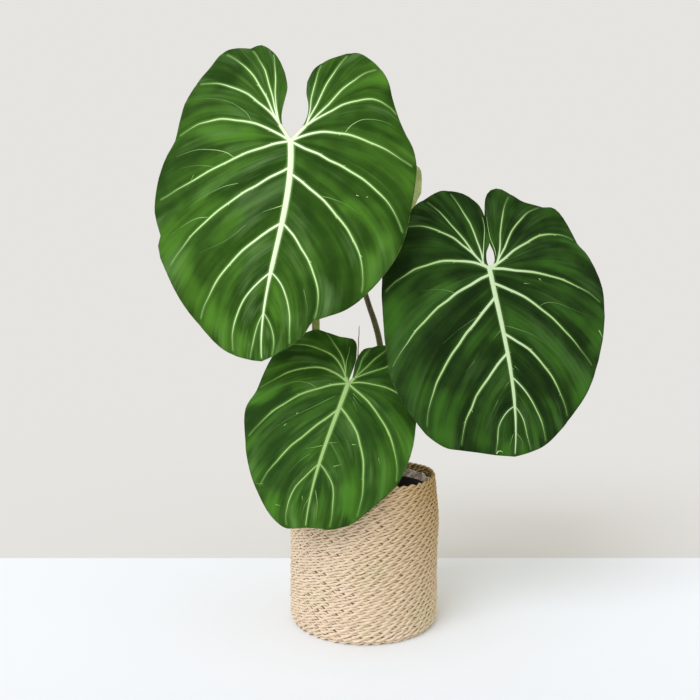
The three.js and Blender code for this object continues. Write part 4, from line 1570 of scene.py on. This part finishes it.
@dataclass
class Basket:
    """The planter: level rows of two-ply cord, each half a stroke on from the one below it."""

    finish: CordFinish = CordFinish()
    radius: float = 84.0  # of the cords' middle
    height: float = RIM_HEIGHT
    side_from: float = 9.0
    rows: int = 35
    rim_wave: float = 0.8
    rim_rise: float = 2.4  # at the back right
    swell: float = 2.4  # of the right-hand side
    swell_height: float = 118.0
    swell_reach: float = 28.0
    ply: float = 1.5
    orbit: float = 1.25
    climb: float = 1.68  # how far a strand goes up and down as it turns
    stroke: float = 11.0  # length of a strand's turn on the face
    stroke_steps: int = 6
    sides: int = 6
    corner: tuple[Point, ...] = ((81.4, 2.9), (83.8, 6.8))  # [radius, height] of its rows
    base_rows: int = 17
    base_pitch: float = 4.6
    base_height: float = 3.0
    lining: float = 0.6
    lining_foot: tuple[Point, ...] = ((0, 2.4), (78, 2.4), (82, 5))  # [radius, height]
    lining_from: float = 12.0
    lining_below: float = 1.6  # how far it ends below the rim
    lining_sides: int = 96
    hairs: int = 150
    hair_zone: Point = (8, 160)  # heights that the loose fibres start at
    hair_length: Point = (4, 13)
    hair_half: Point = (0.22, 0.08)  # half its width at its start and its end
    hair_clear: float = 2.6  # how far it lies outside the cords' middle

    def __post_init__(self) -> None:
        """Starts the draws that make every row differ."""
        self.draw = np.random.default_rng(28)
        self.strands = 0
        self.phase = 0.0

    def row_height(self, z: Numbers, angle: np.ndarray) -> np.ndarray:
        """Gives a row's height round the basket, from its height at the front left."""
        rise = self.rim_wave * np.sin(3 * angle + 1) + self.rim_rise * facing(angle, math.pi / 4) ** 2
        return z + (z / self.height) ** 6 * rise

    def weather(self, z: float, angle: np.ndarray) -> np.ndarray:
        """Gives how far the grass is painted golden and darker, most at the upper right: partly its own tone,
        partly painted shade on the side away from the light.
        """
        return np.clip(z / self.height, 0, 1) * facing(angle, -0.25)

    def swelling(self, z: Numbers, angle: np.ndarray) -> np.ndarray:
        """Gives how far the side stands out of its round."""
        level = np.exp(-(((z - self.swell_height) / self.swell_reach) ** 2))
        return self.swell * level * facing(angle) ** 2 - drawn_in(z, angle)

    def add_cord(self, form: Form, radius: float, z: float) -> None:
        """Adds one row: two strands twisted round each other.

        Args:
            form: the mesh that it is added to.
            radius: radius of the row.
            z: its height.
        """
        twists = max(2, round(math.pi * radius / self.stroke))
        rings = twists * 2 * self.stroke_steps
        angle = math.pi / 2 + circle(rings)
        self.phase += math.pi / 2
        drift, sway, shift = self.draw.uniform(0, 2 * math.pi, 3)
        wobble = waves(angle, (0.5, 2, z / 31), (0.35, 5, -z / 17), (0.22, 11, sway), (0.2, 19, -drift))
        wobble = wobble + 0.08 * shift
        middle = radius + waves(angle, (0.2, 4, sway), (0.12, 17, drift)) + self.swelling(z, angle)
        height = self.row_height(z, angle) + waves(angle, (0.15, 6, shift), (0.18, 31, sway))
        around = circle(self.sides)
        along = np.repeat(angle * radius, self.sides)
        weather = np.repeat(self.weather(z, angle), self.sides)
        faces = [face[::-1] for face in ring_faces(rings, self.sides, closed=True)]
        for strand in range(2):
            turn = twists * angle + self.phase + strand * math.pi + wobble
            uneven = waves(angle, (0.09, 23, drift + strand), (0.07, 37, sway - strand))
            thick = self.ply * (1 + uneven)[:, None]
            spread = (middle + self.orbit * np.cos(turn))[:, None] + thick * np.cos(around)
            lift = (height + self.climb * np.sin(turn))[:, None] + thick * np.sin(around)
            points = polar(spread, angle[:, None], np.maximum(lift, 0.0)).reshape(-1, 3)
            roll = (around + turn[:, None]).reshape(-1)
            offset = 7.3 * self.strands  # so that no two strands have the same fibres
            fibre = np.stack([along, np.cos(roll) + offset, np.sin(roll) - 1.9 * offset], axis=1)
            form.add(points, faces, fibre=fibre, weather=weather)
            self.strands += 1

    def build(self) -> None:
        """Builds the side, the underside, the inner wall and the loose fibres."""
        material = self.finish.material()
        pitch = (self.height - self.side_from) / self.rows
        heights = [self.side_from + pitch * (row + 0.5) for row in range(self.rows)]
        middle = self.rows // 2
        for name, part in (("lower", heights[:middle]), ("upper", heights[middle:])):
            form = Form()
            for z in part:
                self.add_cord(form, self.radius, z)
            form.piece(f"basket_side_{name}", material, ["basket"])
        base = Form()
        for radius, z in self.corner:
            self.add_cord(base, radius, z)
        for row in range(self.base_rows):
            self.add_cord(base, self.base_pitch * (row + 0.6), self.base_height)
        base.piece("basket_base", material, ["basket"])
        self.build_lining()
        self.build_hairs(material)

    def build_lining(self) -> None:
        """Builds the wall that shows between the strands; its darker brown is painted shade of the gaps."""
        levels = np.linspace(self.lining_from, self.height - self.lining_below, 24)
        outer = [*self.lining_foot, *((self.radius, z) for z in levels)]
        inner = [(max(0.0, r - self.lining), z + self.lining) for r, z in outer[:-1]]
        top = (self.radius - self.lining, levels[-1])
        profile = np.array([*outer, top, *inner[::-1]], float)
        angle = circle(self.lining_sides)
        heights = self.row_height(np.repeat(profile[:, 1:], len(angle), axis=1), angle)
        radii = profile[:, :1] + self.swelling(heights, angle) * (profile[:, :1] > 0)
        form = Form()
        form.add(*revolved(radii, heights))
        # darker brown than the cords: painted shade in the gaps between the strands and on the inside
        stuff = PlainFinish((150, 116, 80), (104, 78, 52), 0.9, 12, 1.2, 0.2)
        form.piece("basket_inner_wall", stuff.material("basket_inner_wall"), ["basket"])

    def build_hairs(self, material: Material) -> None:
        """Scatters loose ends of fibre over the side.

        Args:
            material: the cords' finish.
        """
        form = Form()
        steps = np.linspace(0, 1, 6)
        sides = 4
        radii = np.repeat(np.linspace(*self.hair_half, len(steps))[:, None], sides, axis=1)
        for i in range(self.hairs):
            angle, lean, curl = self.draw.uniform(0, 2 * math.pi), *self.draw.uniform(-1, 1, 2)
            z = self.draw.uniform(*self.hair_zone)
            length = self.draw.uniform(*self.hair_length)
            turn = angle + steps * length / self.radius * (0.75 + 0.25 * lean)
            out = self.radius + self.hair_clear + self.swelling(z, turn)
            out = out + 0.5 * np.sin(math.pi * steps) + max(0.0, curl) * 1.2 * steps**2
            rise = length * (0.3 * steps + 0.4 * curl * steps**2)
            points = tube(polar(out, turn, z + rise), radii)
            along = np.repeat(steps * length, sides)
            fibre = np.stack([along, np.full(len(along), 3.1 * i), np.full(len(along), 1.7 * i)], axis=1)
            weather = np.repeat(self.weather(z, turn), sides)
            form.add(points, ring_faces(len(steps), sides), fibre=fibre, weather=weather)
        form.piece("basket_loose_fibres", material, ["basket"])


# ---- Liner, nursery pot and mix -----------------------------------------------------------------------


@dataclass
class Liner:
    """Thin crumpled film between the basket and the pot."""

    outer: float = 80.85
    floor: float = 6.35
    free_from: float = 132.0  # it lies flat on the basket up to here
    top: float = 164.5
    lean: float = 4.4  # how far its free edge leans in at most
    sag: float = 3.6
    wall: float = 0.3
    folds: Point = (13.0, 5.5)  # size of the large ones and of the small
    sides: int = 360

    def build(self) -> None:
        """Builds the film."""
        angle = circle(self.sides)
        free = np.linspace(self.free_from, self.top, 26)
        level = np.concatenate([np.linspace(self.floor, self.free_from, 12), free[1:]])[:, None]
        share = np.clip((level - self.free_from) / (self.top - self.free_from), 0, 1)
        spots = polar(self.outer, angle, 0.8 * level).reshape(-1, 3)
        large, small = self.folds
        fold = np.abs(bumps(spots, large, 2.0)) + 0.5 * np.abs(bumps(spots, small, 5.0))
        fold = fold.reshape(len(level), self.sides)
        edge = (1 + np.sin(9 * angle) * np.cos(4 * angle)) / 2
        radii = self.outer - share * self.lean * (0.35 * edge + 0.9 * fold) - 0.3 * fold * (share > 0)
        radii = radii - drawn_in(level, angle)
        heights = level - share**2 * self.sag * (edge + 0.5 * fold)
        inner = heights[::-1].copy()
        inner[-1] += self.wall
        axis = np.zeros((1, self.sides))
        rings = np.concatenate([axis, radii, radii[::-1] - self.wall, axis])
        floor = np.full((1, self.sides), self.floor)
        form = Form()
        form.add(*revolved(rings, np.concatenate([floor, heights, inner, floor + self.wall])))
        film = PlainFinish((250, 238, 236), (218, 198, 194), 0.36, 9, 1.6, 0.25, 0.5)
        form.piece("liner_film", film.material("liner_film"), ["basket_liner"])


@dataclass
class NurseryPot:
    """The thin black pot with its rim band and four drain holes."""

    floor: float = 7.5
    height: float = 145.0
    base: float = 56.0
    neck: float = 72.4
    rim: float = 76.0
    band: float = 14.0
    wall: float = 1.5
    drain_radius: float = 5.0
    drain_circle: float = 34.0
    drains: int = 4
    drain_sides: int = 32
    sides: int = 120

    def build(self) -> None:
        """Builds the pot, and cuts the drain holes through its floor."""
        z0, z1 = self.floor, self.floor + self.height
        band, w = z1 - self.band, self.wall
        profile = [
            (0, z0), (self.base - 2, z0), (self.base - 0.6, z0 + 0.6), (self.base, z0 + 2),
            (self.neck, band), (self.rim - 0.9, band), (self.rim - 0.2, band + 0.6), (self.rim, band + 1.5),
            (self.rim, z1 - 0.8), (self.rim - 0.4, z1 - 0.2), (self.rim - 0.75, z1), (self.rim - w, z1 - 0.3),
            (self.rim - w, band + w), (self.neck - w, band + w), (self.base - w, z0 + w), (0, z0 + w),
        ]
        outline = np.array(profile, float)
        radii = np.repeat(outline[:, :1], self.sides, axis=1)
        heights = np.repeat(outline[:, 1:], self.sides, axis=1)
        form = Form()
        form.add(*revolved(radii, heights))
        plastic = PlainFinish((7, 7, 8), (4, 4, 5), 0.5, 22, 0.8, 0.05, 0.1)
        pot = form.piece("pot_shell", plastic.material("pot_shell"), ["nursery_pot"])
        self.drill(pot)

    def drill(self, pot: bpy.types.Object) -> None:
        """Cuts the drain holes.

        Args:
            pot: the pot, whose mesh is replaced by the one with the holes.
        """
        form = Form()
        turn = circle(self.drain_sides)
        for i in range(self.drains):
            centre = polar(self.drain_circle, 2 * math.pi * (i + 0.5) / self.drains, self.floor)
            rings = [centre + polar(self.drain_radius, turn, depth) for depth in (-3.0, 3.0)]
            form.add(np.concatenate(rings), ring_faces(2, self.drain_sides))
        cutter = form.piece("drain_cutter", pot.data.materials[0])
        cut = pot.modifiers.new("drains", "BOOLEAN")
        cut.operation, cut.object, cut.solver = "DIFFERENCE", cutter, "EXACT"
        evaluated = pot.evaluated_get(bpy.context.evaluated_depsgraph_get())
        mesh = bpy.data.meshes.new_from_object(evaluated)
        pot.modifiers.clear()
        pot.data = mesh
        bpy.data.objects.remove(cutter)


@dataclass
class PottingMix:
    """Loose bark and peat, with pale perlite."""

    floor: float = 9.4
    top: float = 136.0
    floor_radius: float = 54.0
    top_radius: float = 69.2
    lump: float = 1.6
    chips: int = 420
    pebbles: int = 80
    scatter_radius: float = 65.0
    chunk: tuple[Point, ...] = ((0.65, -1), (1, -0.3), (0.95, 0.4), (0.55, 1))  # [radius, height]
    chunk_sides: int = 6
    sides: int = 96
    rings: int = 30

    def build(self) -> None:
        """Builds the body of the mix, and scatters the pieces on it."""
        share = np.repeat(np.linspace(1, 0, self.rings)[:, None], self.sides, axis=1)
        flat = polar(self.top_radius * share, circle(self.sides), 0.0).reshape(-1, 3)
        crust = self.top + self.relief(flat).reshape(share.shape) * (1 - share**8)
        foot = np.full((1, self.sides), self.floor_radius)
        radii = np.concatenate([0 * foot, foot, self.top_radius * share])
        floor = np.full((2, self.sides), self.floor)
        form = Form()
        form.add(*revolved(radii, np.concatenate([floor, crust])))
        earth = PlainFinish((84, 62, 44), (38, 27, 20), 0.95, 5, 0.9, 0.8, 0.15)
        form.piece("mix_body", earth.material("mix_body"), ["potting_mix"])
        bark = PlainFinish((118, 84, 54), (62, 42, 28), 0.9, 7, 0.8, 0.5, 0.2)
        self.scatter("mix_chips", bark, self.chips, (3.4, 1.7, 0.9), 5)
        perlite = PlainFinish((232, 229, 220), (196, 190, 178), 0.9, 3, 0.5, 0.3, 0.3)
        self.scatter("mix_perlite", perlite, self.pebbles, (1.4, 1.1, 1.0), 9)

    def relief(self, points: np.ndarray) -> np.ndarray:
        """Gives the height of the crust's lumps."""
        return self.lump * (bumps(points, 14.0, 3.0) + 0.6 * bumps(points, 4.5, 8.0))

    def scatter(self, name: str, stuff: PlainFinish, count: int, size: Point, seed: int) -> None:
        """Scatters rough pieces over the crust.

        Args:
            name: the piece's name.
            stuff: their finish.
            count: how many there are.
            size: half of a piece's length, width and thickness.
            seed: start of the draws.
        """
        draw = np.random.default_rng(seed)
        form = Form()
        around = circle(self.chunk_sides)
        chunk = np.concatenate([polar(r, around, z) for r, z in self.chunk])
        for _ in range(count):
            reach, angle = math.sqrt(draw.uniform()), draw.uniform(0, 2 * math.pi)
            spot = polar(self.scatter_radius * reach, angle, 0.0)
            spot[2] = self.top + self.relief(spot[None])[0] + 0.25 * size[2]
            scale = np.array(size) * draw.uniform(0.55, 1.2, 3)
            shape = chunk * (1 + draw.uniform(-0.16, 0.16, chunk.shape)) * scale
            yaw, tip = draw.uniform(0, 2 * math.pi), draw.uniform(-0.35, 0.35)
            turn = Matrix.Rotation(yaw, 3, "Z") @ Matrix.Rotation(tip, 3, "Y")
            form.add(shape @ np.array(turn).T + spot, ring_faces(len(self.chunk), self.chunk_sides))
        form.piece(name, stuff.material(name))


# ---- Rhizome and sheath -------------------------------------------------------------------------------


@dataclass
class Rhizome:
    """The creeping stem, ringed by leaf scars, with a few roots into the mix."""

    route: tuple[Point, ...] = (
        (-66, 3, 136), (-54, 5, 139), (-22, 1, 139), (8, 4, 139), (38, -2, 139), (52, -5, 136),
    )
    radius: float = 10.8
    ring_every: float = 13.0
    sides: int = 36
    rings: int = 160
    end_taper: float = 11.0  # stretch over which its ends round off
    roots: int = 9
    root_reach: Point = (13, 22)
    root_drop: float = 9.0
    root_half: Point = (2.0, 1.3)  # half its width at its start and its end
    root_rings: int = 20
    root_sides: int = 10

    def build(self) -> None:
        """Builds the stem and its roots."""
        line = route(self.route, self.rings)
        along = lengths(line)
        end = np.minimum(along, along[-1] - along)
        taper = np.sqrt(np.clip(end / self.end_taper, 0.05, 1))
        scar = np.exp(-(((along % self.ring_every) / self.ring_every - 0.5) ** 2) / 0.004)
        radii = np.repeat((self.radius * taper * (1 + 0.075 * scar))[:, None], self.sides, axis=1)
        points = tube(line, radii)
        centre = np.repeat(line, self.sides, axis=0)
        rough = 0.09 * bumps(points, 6.0, 4.0) + 0.05 * bumps(points, 2.0, 9.0)
        points = centre + (points - centre) * (1 + rough)[:, None]
        form = Form()
        form.add(points, ring_faces(self.rings, self.sides))
        draw = np.random.default_rng(12)
        thick = np.linspace(*self.root_half, self.root_rings)[:, None]
        thick = np.repeat(thick, self.root_sides, axis=1)
        for i in range(self.roots):
            start = line[int(self.rings * (i + 1) / (self.roots + 1))]
            side = draw.choice([-1, 1])
            reach = side * draw.uniform(*self.root_reach)
            lean = draw.uniform(-6, 6)
            knee = start + (0.5 * lean, 0.75 * reach, 0.5)
            foot = start + (lean, reach, -self.root_drop)
            steps = route([tuple(start), tuple(knee), tuple(foot)], self.root_rings)
            form.add(tube(steps, thick), ring_faces(*thick.shape))
        bark = PlainFinish((126, 108, 72), (74, 58, 36), 0.8, 9, 1.4, 0.7, 0.25)
        form.piece("rhizome_bark", bark.material("rhizome_bark"), ["rhizome"])


@dataclass
class Sheath:
    """A dried leaf sheath: a thin, pointed, half-rolled strip."""

    route: tuple[Point, ...] = ((-2, 4, 144), (-3, 9, 210), (-7, 12, 280), (-5, 12, 342))
    half_widths: tuple[float, ...] = (5, 3.4, 1.8, 0.5)
    curl: float = 2.1  # half angle of the roll, in radians
    twist: float = 0.9  # from foot to tip, in radians
    girth: float = 0.8  # radius of the roll, as a share of the half width
    wall: float = 0.35
    rings: int = 90
    sides: int = 16

    def build(self) -> None:
        """Builds the strip."""
        line = route(self.route, self.rings)
        share = np.linspace(0, 1, self.rings)
        widths = np.interp(share, np.linspace(0, 1, len(self.half_widths)), self.half_widths)
        rings = []
        for place, centre, width in zip(share, line, widths):
            spread = self.curl * (0.75 + 0.2 * math.sin(7 * place))
            turn = np.linspace(-spread, spread, self.sides // 2) + self.twist * place - math.pi / 2
            outer = polar(self.girth * width, turn, 0.0)
            inner = outer[::-1] * max(0.35, 1 - self.wall / width)
            rings.append(centre + np.concatenate([outer, inner]))
        points = np.concatenate(rings)
        points = points + 0.5 * bumps(points, 7.0, 6.0)[:, None] * np.array([1.0, 0.4, 0.0])
        form = Form()
        form.add(points, ring_faces(self.rings, self.sides))
        dried = StemFinish((168, 158, 112), (128, 118, 78), (112, 86, 56), (190, 182, 146))
        form.piece("sheath_strip", dried.material("sheath_strip"), ["dried_sheath"])


# ---- Studio -------------------------------------------------------------------------------------------


@dataclass
class Studio:
    """The camera, a plain pale floor, and soft light from the front left."""

    eye: Point = (-16, -760, 313)
    focal: float = 32.914
    floor_end: float = 203.0  # the floor takes the backdrop's tone here
    floor_size: float = 40000.0
    floor_tone: Rgb = (241, 244, 246)
    floor_grain: Rgb = (240, 241, 243)
    blend: float = 2.0  # half the width of the band where one tone turns into the other
    back_tone: Rgb = (230, 228, 224)
    sun_tint: Point = (1.0, 1.06, 1.2)
    sun_strength: float = 1.4
    sun_width: float = 40.0  # in degrees
    sun_from: Point = (-1.0, -1.25, 1.35)

    def build(self) -> None:
        """Builds the whole studio."""
        self.build_camera()
        self.build_floor()
        self.build_light()

    def build_camera(self) -> None:
        """Sets the camera level, at the height of the lower leaves."""
        data = bpy.data.cameras.new("camera")
        data.lens, data.sensor_width, data.sensor_fit = self.focal, 36.0, "HORIZONTAL"
        data.clip_start, data.clip_end = 0.01, 100.0
        camera = placed("camera", data)
        camera.location = [value * MM for value in self.eye]
        camera.rotation_euler = (math.pi / 2, 0.0, 0.0)
        bpy.context.scene.camera = camera
        bpy.context.scene.view_settings.view_transform = "Standard"

    def build_floor(self) -> None:
        """Lays the floor."""
        mesh = bpy.data.meshes.new("floor")
        reach = self.floor_size * MM
        corners = [(x * reach, y * reach, 0) for x, y in ((-1, -1), (1, -1), (1, 1), (-1, 1))]
        mesh.from_pydata(corners, [], [(0, 1, 2, 3)])
        recipe = Recipe("floor", Roughness=0.9, Specular_IOR_Level=0.0)
        grain = recipe.noise(recipe.place(), 3.0, 3.0)
        split = recipe.node("ShaderNodeSeparateXYZ", inputs={0: recipe.place()})
        start, end = ((self.floor_end + step) * MM for step in (-self.blend, self.blend))
        back = Signal(recipe, split.outputs[1]).between(start, end)
        near = recipe.mix(grain * 0.1, self.floor_tone, self.floor_grain)
        mesh.materials.append(recipe.finish(recipe.mix(back, near, self.backdrop())))
        placed("floor", mesh)

    def backdrop(self) -> Rgb:
        """Works out the far floor's colour.

        Returns:
            The colour that makes the lit floor look as bright as the air behind it.
        """
        upright = Vector(self.sun_from).normalized().z
        level = self.sun_strength * upright / math.pi
        pairs = zip(linear(self.back_tone), self.sun_tint)
        return tuple(display(air / (air + level * tint)) for air, tint in pairs)

    def build_light(self) -> None:
        """Lights the air all round, and hangs a wide soft sun at the front left."""
        world = bpy.data.worlds.new("air")
        world.use_nodes = True
        air = world.node_tree.nodes["Background"]
        air.inputs[0].default_value = linear(self.back_tone)
        bpy.context.scene.world = world
        data = bpy.data.lights.new("window", "SUN")
        data.color, data.energy, data.angle = self.sun_tint, self.sun_strength, math.radians(self.sun_width)
        lamp = placed("window", data)
        lamp.rotation_euler = (-Vector(self.sun_from)).to_track_quat("-Z", "Y").to_euler()


# ---- Assembly -----------------------------------------------------------------------------------------


def main() -> None:
    """Builds the studio and the plant, piece by piece."""
    logging.basicConfig(level=logging.INFO, format="%(name)s: %(message)s")
    Studio().build()
    Basket().build()
    Liner().build()
    NurseryPot().build()
    PottingMix().build()
    Rhizome().build()
    Sheath().build()
    Leaf("leaf_1", LEAF_1, FULL_GREEN, 1, BRANCHES_1, WASHES_1).build()
    Leaf("leaf_2", LEAF_2, DEEP_GREEN, 2, BRANCHES_2, WASHES_2, midrib=MIDRIB_2, vein_half=1.6).build()
    small = {"midrib": MIDRIB_3, "vein_half": 1.1, "full_length": 110}
    Leaf("leaf_3", LEAF_3, FRESH_GREEN, 3, BRANCHES_3, WASHES_3, **small).build()
    Leaf("leaf_4", LEAF_4, FRESH_GREEN, 4, BRANCHES_3[:9], WASHES_3, **small, stalk=SHADED_STEM).build()


if __name__ == "__main__":
    main()
